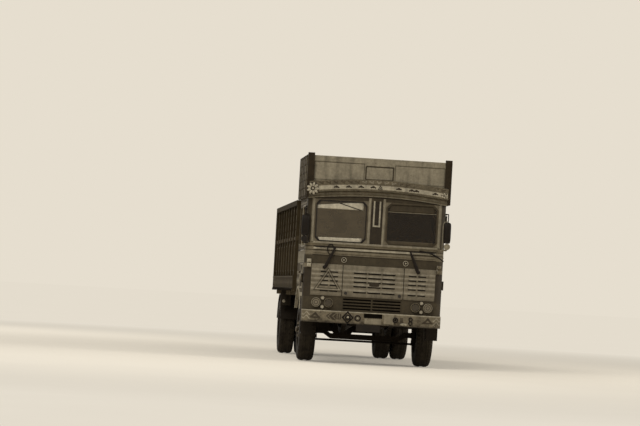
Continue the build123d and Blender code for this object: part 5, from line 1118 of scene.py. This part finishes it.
# Bumper: bolts, diamond plate round one tow eye, rings, a pale block on each side of the crank hole
bumper = {"y": -4.17, "eyeX": 0.400, "eyeZ": 0.7815, "boltX": (0.55, 0.86, 1.06), "boltZ": (0.712, 0.850),
          "diamond": ((0.0, 0.874), (-0.087, 0.7815), (0.0, 0.689), (0.087, 0.7815)), "studX": -0.232,
          "studZ": 0.779, "chainX": 0.655, "chainZ": (0.806, 0.742),
          "hole": ((-0.140, -4.106, 0.700), (0.190, -4.098, 0.870)), "blocks": (
              # lowest corner, highest corner
              ((0.205, -4.180, 0.705), (0.375, -4.169, 0.862)),
              ((-0.115, -4.178, 0.692), (0.165, -4.169, 0.780)))}
bumper["seatY"] = bumper["y"] + letIn
shells = []
for _, sign in reversed(sides):
    for x in bumper["boltX"]:
        shells += [boltHead((sign * x, bumper["y"], z), 0.011, 0.009, ahead) for z in bumper["boltZ"]]
makePiece("bumper_bolts", shells, steel)
diamond = [(x - bumper["eyeX"], bumper["seatY"], z) for x, z in bumper["diamond"]]
shells = [moulding(diamond, halfRound(0.024, 0.012), ahead, loop=True)]
for _, sign in reversed(sides):
    shells.append(torus((sign * bumper["eyeX"], bumper["seatY"], bumper["eyeZ"]), ahead, 0.030, 0.036, 0.012))
for z in bumper["chainZ"]:
    shells.append(ovalLoop(bumper["chainX"], bumper["y"] - 0.008, z, 0.026, 0.032, 28, 0.009))
shells.append(torus((bumper["studX"], bumper["seatY"], bumper["studZ"]), ahead, 0.0, 0.044, 0.011, 0.012))
makePiece("tow_plates", shells, blackPaint)
crescent = lambda t: 0.030 * (0.55 - 0.45 * np.sin(t))
shells = [button((bumper["studX"], bumper["y"], bumper["studZ"]), 0.016, 0.012),
          lozenge(0.545, 0.715, bumper["y"], 0.060, 0.020, 0.006, 2.5),
          dome(crescent, (-0.398, bumper["y"] - 0.036, 0.778), ahead, 0.010)]
makePiece("bumper_studs", shells, trimBright)
blocks = [slab(low, high) for low, high in bumper["blocks"]]
makePiece("bumper_blocks", blocks, agedPaint("blockPaint", "cream", dust=0.1, chips=0.9))
# a dark plate behind the crank hole is painted shade, so that the hole shows dark and not the floor behind it
makePiece("handle_hole_back", [slab(*bumper["hole"])], castIron)
print("bumper dressed")

# Cargo body: planks between its posts, framed panels with lozenges, a band with rope hooks along its foot
cargo = {"wallX": 1.18, "bandX": corners("cargo_sides")[1][0], "front": corners("cargo_floor")[0][1],
         "rear": corners("cargo_floor")[1][1], "posts": 9, "postWidth": 0.07, "postGap": 0.012, "endGap": 0.1,
         "bandLow": corners("cargo_sides")[0][2], "bandHigh": 1.44, "railLow": 2.06, "railHigh": 2.12,
         "top": 2.66, "planks": 4, "plankProud": 0.011}
cargo["pitch"] = (cargo["rear"] - cargo["front"] - cargo["endGap"] - cargo["postWidth"]) / (cargo["posts"] - 1)
panel = {"inset": 0.07, "low": 1.53, "high": 1.97, "middle": 1.75, "long": 0.11, "tall": 0.085, "lozenges": (
    # along, up, size
    (0, 0, 1.0), (-0.17, 0, 0.4), (0.17, 0, 0.4), (0, 0.14, 0.4), (0, -0.14, 0.4))}
band = {"z": 1.315, "along": (-0.24, 0.0, 0.24), "long": 0.085, "tall": 0.058, "beadInset": 0.022,
        "hookZ": 1.225, "hookBack": 0.047}


def sideLozenge(x, y, z, long, tall, sign, proud=0.006, order=1):
    return dome(superellipse(long, tall, order), (x, y, z), (sign, 0, 0), proud, right=(0, 1, 0), rings=5)


def planksBetween(x, y0, y1, low, high, count, sign, **settings):
    # boards of one width, one over the other
    width = (high - low) / count
    rows = low + (np.arange(count) + 0.5) * width
    return [plank((x, y0, z), (x, y1, z), width, (sign, 0, 0), **settings) for z in rows]


def ropeHook(y, sign):
    # bulge = 26 mm * sin(pi u)^0.7, down by the sine of a quarter turn and up again at the tip
    u = np.linspace(0, 1, 17)
    out = cargo["bandX"] + 0.004 + 0.026 * np.sin(np.pi * u) ** 0.7
    high = band["hookZ"] - 0.055 * np.sin(np.pi * u * 0.5) + 0.045 * np.maximum(u - 0.75, 0) * 4
    return tube(np.stack([sign * out, np.full_like(u, y), high], -1), 0.0065)


plankPaint = boards("plankPaint", "umber", 0.11)
sideTrim = agedPaint("sideTrim", "brown", dust=0.15, gloss=0.08, roughness=0.8)
frames, lozenges, hooks, planks, ornament = [], [], [], [], []
for _, sign in reversed(sides):
    wall, face = sign * (cargo["wallX"] - letIn), sign * (cargo["wallX"] + cargo["plankProud"])
    bandFace = sign * (cargo["bandX"] - letIn / 2)
    for bay in range(cargo["posts"] - 1):
        y0 = cargo["front"] + bay * cargo["pitch"] + cargo["postWidth"] + cargo["postGap"]
        y1 = y0 + cargo["pitch"] - cargo["postWidth"] - 2 * cargo["postGap"]
        middle = (y0 + y1) / 2
        for low, high in (("bandHigh", "railLow"), ("railHigh", "top")):
            planks += planksBetween(wall, y0, y1, cargo[low], cargo[high], cargo["planks"], sign)
        ends = [(face, y0 + panel["inset"], panel["low"]), (face, y1 - panel["inset"], panel["high"])]
        frames.append(rectangle(*ends, 0.024, 0.012, (sign, 0, 0)))
        for along, up, size in panel["lozenges"]:
            lozenges.append(sideLozenge(face, middle + along, panel["middle"] + up, panel["long"] * size,
                                        panel["tall"] * size, sign))
        for along in band["along"]:
            ornament.append(sideLozenge(bandFace, middle + along, band["z"], band["long"], band["tall"], sign,
                                        0.005))
        hooks += [ropeHook(y, sign) for y in (y0 - band["hookBack"], middle)]
    for z in (cargo["bandLow"] + band["beadInset"], cargo["bandHigh"] - band["beadInset"]):
        ends = [(bandFace, y, z) for y in (cargo["front"], cargo["rear"])]
        ornament.append(bead(*ends, 0.02, 0.007, (sign, 0, 0)))
makePiece("side_planks", planks, plankPaint)
makePiece("side_frames", frames, sideTrim)
makePiece("side_diamonds", lozenges, sideTrim)
makePiece("band_ornament", ornament, sideTrim)
makePiece("rope_hooks", hooks, castIron)

# Roof carrier: planked sides with short stanchions and a capping, boards on its floor
carrier = {"x": corners("roof_carrier")[1][0], "front": -4.13, "rear": corners("roof_carrier")[1][1],
           "low": corners("roof_carrier")[0][2], "high": corners("sign_board")[1][2], "planks": 5,
           "stanchions": 5, "capX": 1.19, "floorHalf": 1.055, "floorBoards": 11, "floorWidth": 0.204,
           "floorFront": -4.005, "floorRear": -2.275, "floorZ": 2.9405}
stanchion = [(-0.03, 0), (-0.026, 0.018), (0.026, 0.018), (0.03, 0)]
shells, caps = [], []
for _, sign in reversed(sides):
    x, out = sign * (carrier["x"] - letIn), (sign, 0, 0)
    shells += planksBetween(x, carrier["front"] + 0.01, carrier["rear"], carrier["low"] + 0.03,
                            carrier["high"] - 0.03, carrier["planks"], sign, edge=0.009, crown=0.010)
    for y in np.linspace(carrier["front"] + 0.10, carrier["rear"] - 0.06, carrier["stanchions"]):
        ends = [(x, y, carrier["low"] + 0.005), (x, y, carrier["high"] - 0.005)]
        caps.append(moulding(ends, stanchion, out))
    ends = [(sign * carrier["capX"], y, carrier["high"]) for y in (carrier["front"], carrier["rear"])]
    caps.append(bead(*ends, 0.058, 0.014, upward))
for x in np.linspace(-carrier["floorHalf"], carrier["floorHalf"], carrier["floorBoards"]):
    ends = [(x, y, carrier["floorZ"]) for y in (carrier["floorFront"], carrier["floorRear"])]
    shells.append(plank(*ends, carrier["floorWidth"], upward))
makePiece("carrier_planks", shells, boards("carrierPlanks", "umber", 0.13))
carrierIron = agedPaint("carrierIron", "umber", dust=0.1, gloss=0.08)
makePiece("carrier_stanchions", caps, carrierIron)

# Mud flaps hung from the rear bar, and small ones with marker lamps in front of the rear wheels
flap = {"x": (0.64, 1.14), "y": 2.80, "top": 0.99, "low": 0.30, "sway": 0.03, "barZ": 0.985, "hangX": 0.90,
        "hangTop": 1.10, "hangBack": 0.05, "thickness": 0.008, "ripple": 0.006}
sideFlap = {"x": (1.035, 1.222), "y": 1.30, "top": 1.188, "low": 0.90, "sway": 0.015, "lampX": 1.165,
            "lampY": 1.303, "lampZ": 0.975}
markerProfile = [(0, 0.030), (0.016, 0.030), (0.022, 0.026), (0.026, 0.016), (0.027, 0.0005)]


def flapSheet(settings, sign):
    # y = y0 + sway * (1 - v)^2 + ripple * sin(3 pi u) * (1 - v)
    x0, x1 = sorted(sign * x for x in settings["x"])
    u, v = np.meshgrid(np.linspace(0, 1, 25), np.linspace(0, 1, 25), indexing="ij")
    deep = settings["y"] + settings["sway"] * (1 - v) ** 2 + flap["ripple"] * np.sin(3 * np.pi * u) * (1 - v)
    high = settings["low"] + (settings["top"] - settings["low"]) * v
    points = np.stack([x0 + (x1 - x0) * u, deep, high], -1)
    return points.reshape(-1, 3), gridFaces(25, 25)


bars, lamps = [], []
for _, sign in reversed(sides):
    x0, x1 = sorted(sign * x for x in flap["x"])
    for out, y in ((ahead, flap["y"] - 0.006), (behind, flap["y"] + 0.006)):
        bars.append(bead((x0, y, flap["barZ"]), (x1, y, flap["barZ"]), 0.04, 0.014, out))
    hangX = sign * flap["hangX"]
    ends = [(hangX, flap["y"], flap["barZ"]), (hangX, flap["y"] - flap["hangBack"], flap["hangTop"])]
    bars.append(tube(ends, 0.014, 10, flat=(1, 0, 0)))
    place = (sign * sideFlap["lampX"], sideFlap["lampY"], sideFlap["lampZ"])
    lamps.append(turned(markerProfile, place, ahead, 32))
flaps = [flapSheet(flap, sign) for _, sign in reversed(sides)]
sideFlaps = [flapSheet(sideFlap, sign) for _, sign in reversed(sides)]
makeSheet("mud_flaps", flaps, sealRubber, flap["thickness"])
makePiece("flap_bars", bars, castIron)
makeSheet("side_flaps", sideFlaps, sealRubber, flap["thickness"])
makePiece("marker_lamps", lamps, paleLens)

# Rear: rims round the tail lamps, frames, lozenges and bolts on the tailgate, a rosette on each tail door
tail = {"y": corners("cargo_floor")[1][1], "lampX": (0.910, 1.030), "lampY": 4.170, "lampZ": 0.775,
        "bars": (-1.012, -0.51, 0.0, 0.51, 1.012), "rows": (1.36, 1.60, 1.84),
        "panels": (-0.761, -0.255, 0.255, 0.761), "half": 0.20, "long": 0.16, "tall": 0.15,
        "door": (0.10, 0.97), "doorZ": (2.06, 2.62), "rosetteZ": 2.34, "rosette": 0.17, "petals": 12}
rims = [torus((sign * x, tail["lampY"], tail["lampZ"]), behind, 0.0, 0.047, 0.005, 0.010)
        for _, sign in reversed(sides) for x in tail["lampX"]]
makePiece("tail_lamp_rims", rims, steel)
tailSeat = tail["y"] - letIn / 2
shells = []
low, middle, high = tail["rows"]
for x in tail["panels"]:
    outline = superellipse(tail["long"], tail["tall"], 1)
    shells.append(dome(outline, (x, tailSeat, middle), behind, 0.006, rings=5))
    ends = [(x - tail["half"], tailSeat, low), (x + tail["half"], tailSeat, high)]
    shells.append(rectangle(*ends, 0.02, 0.008, behind))
bolts = [boltHead((x, tail["y"] + 0.0095, z), 0.013, 0.008, behind)
         for x in tail["bars"] for z in tail["rows"]]
makePiece("tailgate_ornament", shells, trimPale, "tailgate")
makePiece("tailgate_bolts", bolts, castIron, "tailgate")
for side, sign in sides:
    x0, x1 = sorted(sign * x for x in tail["door"])
    low, high = tail["doorZ"]
    shells = [rectangle((x0, tailSeat, low), (x1, tailSeat, high), 0.02, 0.007, behind)]
    centre = ((x0 + x1) / 2, tailSeat, tail["rosetteZ"])
    shells += rosette(centre, tail["rosette"], tail["petals"], 0.007, behind)
    makePiece(f"tail_door_ornament_{side}", shells, trimPale, f"tail_door_{side}")
print("cargo body dressed")

# Doors: a framed panel with three lozenges, a frame round the window and a rail under it
door = {"x": 1.1695, "panelY": (-3.80, -3.12), "panelZ": (1.24, 1.64), "windowY": (-3.815, -3.105),
        "windowZ": (1.937, 2.623), "railY": (-3.90, -3.02), "railZ": 1.865, "middleY": -3.46, "middleZ": 1.44,
        "lozenges": (
            # along, half length, half height, proud
            (0.0, 0.17, 0.12, 0.008), (-0.25, 0.05, 0.06, 0.007), (0.25, 0.05, 0.06, 0.007))}
for side, sign in sides:
    x, out = sign * door["x"], (sign, 0, 0)
    shells = []
    for key, width, height in (("panel", 0.022, 0.009), ("window", 0.026, 0.011)):
        low, high = zip(door[f"{key}Y"], door[f"{key}Z"])
        shells.append(rectangle((x, *low), (x, *high), width, height, out))
    for along, long, tall, proud in door["lozenges"]:
        shells.append(sideLozenge(x, door["middleY"] + along, door["middleZ"], long, tall, sign, proud))
    ends = [(x, y, door["railZ"]) for y in door["railY"]]
    shells.append(bead(*ends, 0.03, 0.012, out))
    makePiece(f"door_trim_{side}", shells, trimPale, f"door_{side}")

# Mirrors: silvered plates set into the backs, housings round the upper ones, a bent stay on each side
mirror = {"x": 1.2, "z": 2.286, "plateY": -4.0995, "plate": (0.031, 0.158), "roundZ": 2.055,
          "roundY": -4.1145, "roundRadius": 0.047, "housing": (0.061, 0.176), "housingX": 1.194,
          "housingY": -4.126, "stayY": -4.118, "stayRadius": 0.009}
stayPath = [(1.196, 2.475), (1.150, 2.470), (1.126, 2.448), (1.122, 2.41), (1.122, 2.05), (1.126, 2.012),
            (1.150, 1.992), (1.196, 1.988)]
plates, housings = [], []
plateOutline, housingOutline = superellipse(*mirror["plate"], 8), superellipse(*mirror["housing"], 6)
for _, sign in reversed(sides):
    place = (sign * mirror["x"], mirror["plateY"], mirror["z"])
    plates.append(dome(plateOutline, place, behind, 0.002, rings=3))
    place = (sign * mirror["x"], mirror["roundY"], mirror["roundZ"])
    plates.append(button(place, mirror["roundRadius"], 0.008, behind, rings=6))
    x, y = sign * mirror["housingX"], mirror["housingY"]
    housings.append(dome(housingOutline, (x, y, mirror["z"]), ahead, 0.052, rings=8, power=0.35))
    housings.append(dome(housingOutline, (x, y + letIn / 2, mirror["z"]), behind, 0.003, rings=4))
makePiece("mirror_housings", housings, blackPaint)
for (side, sign), finish in zip(sides, (lampRimPaint, blackPaint)):
    path = [(sign * x, mirror["stayY"], z) for x, z in stayPath]
    makePiece(f"mirror_stay_{side}", [tube(path, mirror["stayRadius"], 10)], finish)
makePiece("mirror_plates", plates, wornMetal("silvering", tone(225, 222, 215), 0.05, 0.1))
print("side details done")

# Seats: each cushion is a rounded form, swollen by a short cloth run, then drawn in along its sewn channels
seat = {"fill": 0.7, "voxel": 0.014, "frames": 20, "pressure": 4.0, "rounding": 0.22, "channelDepth": 0.007,
        "channelWidth": 0.009, "pipingRadius": 0.005}
cushions = {
    # name: lowest corner, highest corner, number of channels, farthest that a point may swell
    "driver_seat": ((-0.912, -3.222, 1.568), (-0.448, -2.838, 1.692), 4, 0.008),
    "driver_back": ((-0.912, -2.826, 1.708), (-0.448, -2.718, 2.240), 4, 0.008),
    "helper_seat": ((0.448, -3.222, 1.568), (1.072, -2.838, 1.692), 5, 0.008),
    "helper_back": ((0.448, -2.826, 1.708), (1.072, -2.718, 2.240), 5, 0.008),
    "bunk_seat": ((-1.120, -2.662, 1.608), (1.120, -2.408, 1.712), 9, 0.008),
    "bunk_back": ((-1.120, -2.396, 1.728), (1.120, -2.318, 2.192), 9, 0.006),
}


def remeshed(piece, voxel):
    # even quads over the closed form, so that the cloth swells without creasing at the poles
    remesh = piece.modifiers.new("even", "REMESH")
    remesh.mode = "VOXEL"
    remesh.voxel_size = voxel
    dependencies = bpy.context.evaluated_depsgraph_get()
    mesh = bpy.data.meshes.new_from_object(piece.evaluated_get(dependencies))
    piece.modifiers.clear()
    piece.data = mesh
    mesh.materials.clear()
    mesh.materials.append(seatCloth)


def coordinatesOf(mesh):
    points = np.empty(len(mesh.vertices) * 3, np.float32)
    mesh.vertices.foreach_get("co", points)
    return points.reshape(-1, 3).astype(float)


def swell(pads):
    # all pads take the pressure together; then a point moves the way its cloth did, no farther than its cap
    scene = bpy.context.scene
    for pad, _ in pads:
        swelling = pad.modifiers.new("swell", "CLOTH")
        swelling.settings.use_pressure = True
        swelling.settings.uniform_pressure_force = seat["pressure"]
        swelling.settings.effector_weights.gravity = 0.0
        swelling.settings.quality = 4
        swelling.point_cache.frame_start, swelling.point_cache.frame_end = 1, seat["frames"]
    for moment in range(1, seat["frames"] + 1):
        scene.frame_set(moment)
    dependencies = bpy.context.evaluated_depsgraph_get()
    results = [coordinatesOf(pad.evaluated_get(dependencies).data) for pad, _ in pads]
    for (pad, cap), swollen in zip(pads, results):
        start = coordinatesOf(pad.data)
        move = swollen - start
        length = np.maximum(np.linalg.norm(move, axis=1), 1e-9)[:, None]
        pad.modifiers.clear()
        pad.data.vertices.foreach_set("co", (start + move * np.minimum(1, cap / length)).ravel())
        pad.data.update()
    scene.frame_set(1)


def drawChannels(pad, low, high, channels, axis, facing):
    # depth * exp(-(distance to the channel / width)^2) * the root of the share towards the side that shows
    points = coordinatesOf(pad.data)
    middle = (low[axis] + high[axis]) / 2
    lines = np.linspace(low[0], high[0], channels + 2)[1:-1]
    near = np.exp(-((points[:, 0, None] - lines) / seat["channelWidth"]) ** 2).max(1)
    shown = np.clip((points[:, axis] - middle) / (high[axis] - middle) * facing, 0, 1) ** 0.5
    points[:, axis] -= facing * seat["channelDepth"] * near * shown
    pad.data.vertices.foreach_set("co", points.ravel())
    pad.data.polygons.foreach_set("use_smooth", np.ones(len(pad.data.polygons), bool))
    pad.data.update()


def pipingLoop(low, high, axis, share):
    # |a|^6 + |b|^6 = 1 round the pad, in a plane square to the axis, a share of half the depth off the middle
    t = np.linspace(0, 2 * np.pi, 97)[:-1]
    a, b = (np.sign(f(t)) * np.abs(f(t)) ** (1 / 3) for f in (np.cos, np.sin))
    middle, half = (low + high) / 2, (high - low) / 2
    other = 3 - axis
    loop = np.empty((len(t), 3))
    loop[:, 0] = middle[0] + half[0] * 0.985 * a
    loop[:, other] = middle[other] + half[other] * (0.975 if axis == 2 else 0.985) * b
    loop[:, axis] = middle[axis] + half[axis] * share
    return tube(loop, seat["pipingRadius"], loop=True, flat=upward if axis == 2 else behind)


pads, piping = [], []
for name, (low, high, channels, cap) in cushions.items():
    low, high = np.array(low), np.array(high)
    form = roundedBox(low + cap, high - cap, seat["rounding"], 40, 80)
    pad = makePiece(name, [form], seatCloth, replaces=["seats"])
    remeshed(pad, seat["voxel"])
    pads.append((pad, cap))
swell(pads)
for (pad, _), (name, (low, high, channels, _)) in zip(pads, cushions.items()):
    # a seat shows its top, a back its front
    axis, facing = (2, 1) if name.endswith("seat") else (1, -1)
    drawChannels(pad, low, high, channels, axis, facing)
    piping.append(pipingLoop(np.array(low), np.array(high), axis, facing * 0.45))
makePiece("seat_piping", piping, agedPaint("pipingVinyl", "dark", dust=0.05, roughness=0.5))
print("seats made")

# Wheel nuts on the disc faces, a stepped cap on each front hub and flange bolts on each rear hub
hub = {"nuts": 10, "circle": 0.118, "nutRadius": 0.0145, "nutHeight": 0.024, "flangeBolts": 8,
       "flangeCircle": 0.076, "boltRadius": 0.008, "boltHeight": 0.010, "frontFace": 1.125, "frontCap": 1.165,
       "rearFace": 0.913, "rearCap": 1.066}
frontCap = [(0, 0.046), (0.008, 0.046), (0.011, 0.040), (0.016, 0.036), (0.019, 0.018), (0.020, 0.0005)]
rearCap = [(0, 0.056), (0.006, 0.056), (0.012, 0.050), (0.014, 0.030), (0.014, 0.0005)]


def nut(centre, sign, radius, height):
    profile = [(-0.001, radius * 1.35), (0.004, radius * 1.35), (0.005, radius), (height * 0.7, radius),
               (height * 0.8, radius * 0.6), (height, radius * 0.55), (height, 0.0005)]
    return turned(profile, centre, (sign, 0, 0), 6)


def nutCircle(x, y, z, sign, count, circle, radius, height):
    angles = (np.arange(count) + 0.5) * 2 * np.pi / count
    centres = [(x, y + circle * math.cos(a), z + circle * math.sin(a)) for a in angles]
    return [nut(centre, sign, radius, height) for centre in centres]


for side, sign in sides:
    for key, capProfile in (("front", frontCap), ("rear", rearCap)):
        body = f"front_wheel_{side}" if key == "front" else f"rear_wheels_{side}"
        _, y, z = pivots[f"{body}_spin"]
        shells = nutCircle(sign * hub[f"{key}Face"], y, z, sign, hub["nuts"], hub["circle"], hub["nutRadius"],
                           hub["nutHeight"])
        if key == "rear":
            shells += nutCircle(sign * hub["rearCap"], y, z, sign, hub["flangeBolts"], hub["flangeCircle"],
                                hub["boltRadius"], hub["boltHeight"])
        shells.append(turned(capProfile, (sign * (hub[f"{key}Cap"] - letIn), y, z), (sign, 0, 0), 40))
        makePiece(f"{key}_nuts_{side}", shells, steel, body)
print("wheel details made")

# Plain pale floor that runs to the horizon, and a sky of the same tone for the camera
ground = {"colour": tone(230, 222, 207), "shade": tone(214, 206, 191), "reach": 420.0, "rings": 16,
          "spokes": 64, "glow": 0.22, "fadeStart": 6.0, "fadeLength": 18.0}


def isSeen(finish):
    # 1 for rays from the camera, in a reflection or through glass
    rays = finish.node("ShaderNodeLightPath", {}, {})
    direct, glossy, through = (
        Value(finish, rays.outputs[key]) for key in ("Is Camera Ray", "Is Glossy Ray", "Is Transmission Ray")
    )
    return (direct + glossy + through).clamped()


def makeGround():
    # rings that widen outward: p(i, t) = reach * (i / rings)^2 * (cos t, sin t)
    rings, spokes = ground["rings"], ground["spokes"]
    t = np.arange(spokes) * 2 * np.pi / spokes
    radius = ground["reach"] * (np.arange(1, rings + 1) / rings) ** 2
    x, y = radius[:, None] * np.cos(t), radius[:, None] * np.sin(t)
    points = np.stack([x, y, np.zeros_like(x)], -1)
    faces = gridFaces(rings, spokes, False, True) + endCaps(rings, spokes)[:1]
    mesh = bpy.data.meshes.new("ground")
    mesh.from_pydata(points.reshape(-1, 3).tolist(), [], faces)
    finish = Finish("groundPaper")
    paper = finish.mix(finish.noise(0.5, 3.0) * 0.25, ground["colour"], ground["shade"])
    finish.set(Base_Color=paper, Roughness=0.95)
    glow = finish.node("ShaderNodeEmission", {}, {"Color": paper, "Strength": 1.0})
    far = (finish.x * finish.x + finish.y * finish.y) ** 0.5
    fade = ((far - ground["fadeStart"]) / ground["fadeLength"]).clamped()
    share = fade * (1 - ground["glow"]) + ground["glow"]
    inputs = {0: isSeen(finish) * share, 1: finish.shader.outputs[0], 2: glow.outputs[0]}
    blend = finish.node("ShaderNodeMixShader", {}, inputs)
    finish.feed(finish.output.inputs[0], blend.outputs[0])
    mesh.materials.append(finish.material)
    piece = bpy.data.objects.new("ground", mesh)
    bpy.context.scene.collection.objects.link(piece)


makeGround()

# Camera at the photograph's place; heading, pitch and roll are degrees, the lens is millimetres
camera = {"place": (-4.33, -53.58, 1.2), "heading": 3.9, "pitch": 1.5, "roll": 3.3, "lens": 167.0,
          "sensor": 36.0, "farthest": 400.0}


def makeCamera():
    data = bpy.data.cameras.new("camera")
    data.lens = camera["lens"]
    data.sensor_width = camera["sensor"]
    data.clip_end = camera["farthest"]
    piece = bpy.data.objects.new("camera", data)
    bpy.context.scene.collection.objects.link(piece)
    heading, pitch = math.radians(camera["heading"]), math.radians(camera["pitch"])
    aim = Vector((math.sin(heading) * math.cos(pitch), math.cos(heading) * math.cos(pitch), math.sin(pitch)))
    piece.rotation_mode = "QUATERNION"
    roll = Quaternion(upward, math.radians(camera["roll"]))
    piece.rotation_quaternion = aim.to_track_quat("-Z", "Y") @ roll
    piece.location = camera["place"]
    bpy.context.scene.camera = piece


makeCamera()

# Light: one broad soft lamp over the front, one from each side, and a plain world
lampColour = (1.0, 0.975, 0.93)
lights = (
    # name, place, aimed at, size, power
    ("over", (-6.0, -14.0, 13.0), (0, -2.0, 1.5), 9.0, 1650.0),
    ("side", (13.0, -5.0, 8.0), (0, 0, 1.5), 8.0, 950.0),
    ("back", (-9.0, 12.0, 9.0), (0, 0, 1.5), 8.0, 900.0),
)
for name, place, aim, size, power in lights:
    lampData = bpy.data.lights.new(name, "AREA")
    lampData.energy = power
    lampData.size = size
    lampData.color = lampColour
    lamp = bpy.data.objects.new(name, lampData)
    lamp.location = place
    lamp.rotation_mode = "QUATERNION"
    lamp.rotation_quaternion = (Vector(aim) - Vector(place)).to_track_quat("-Z", "Y")
    bpy.context.scene.collection.objects.link(lamp)

skyLight = {"colour": (1.0, 0.97, 0.91, 1), "strength": 0.40}
world = bpy.data.worlds.new("softSky")
bpy.context.scene.world = world
world.use_nodes = True
tree = world.node_tree
sky = tree.nodes["Background"]
sky.inputs["Color"].default_value = skyLight["colour"]
sky.inputs["Strength"].default_value = skyLight["strength"]
seenSky = tree.nodes.new("ShaderNodeBackground")
seenSky.inputs["Color"].default_value = (*ground["colour"], 1)
rays = tree.nodes.new("ShaderNodeLightPath")
skyMix = tree.nodes.new("ShaderNodeMixShader")
tree.links.new(rays.outputs["Is Camera Ray"], skyMix.inputs[0])
tree.links.new(sky.outputs[0], skyMix.inputs[1])
tree.links.new(seenSky.outputs[0], skyMix.inputs[2])
tree.links.new(skyMix.outputs[0], tree.nodes["World Output"].inputs[0])
bpy.context.scene.view_settings.view_transform = "Standard"

print("done")
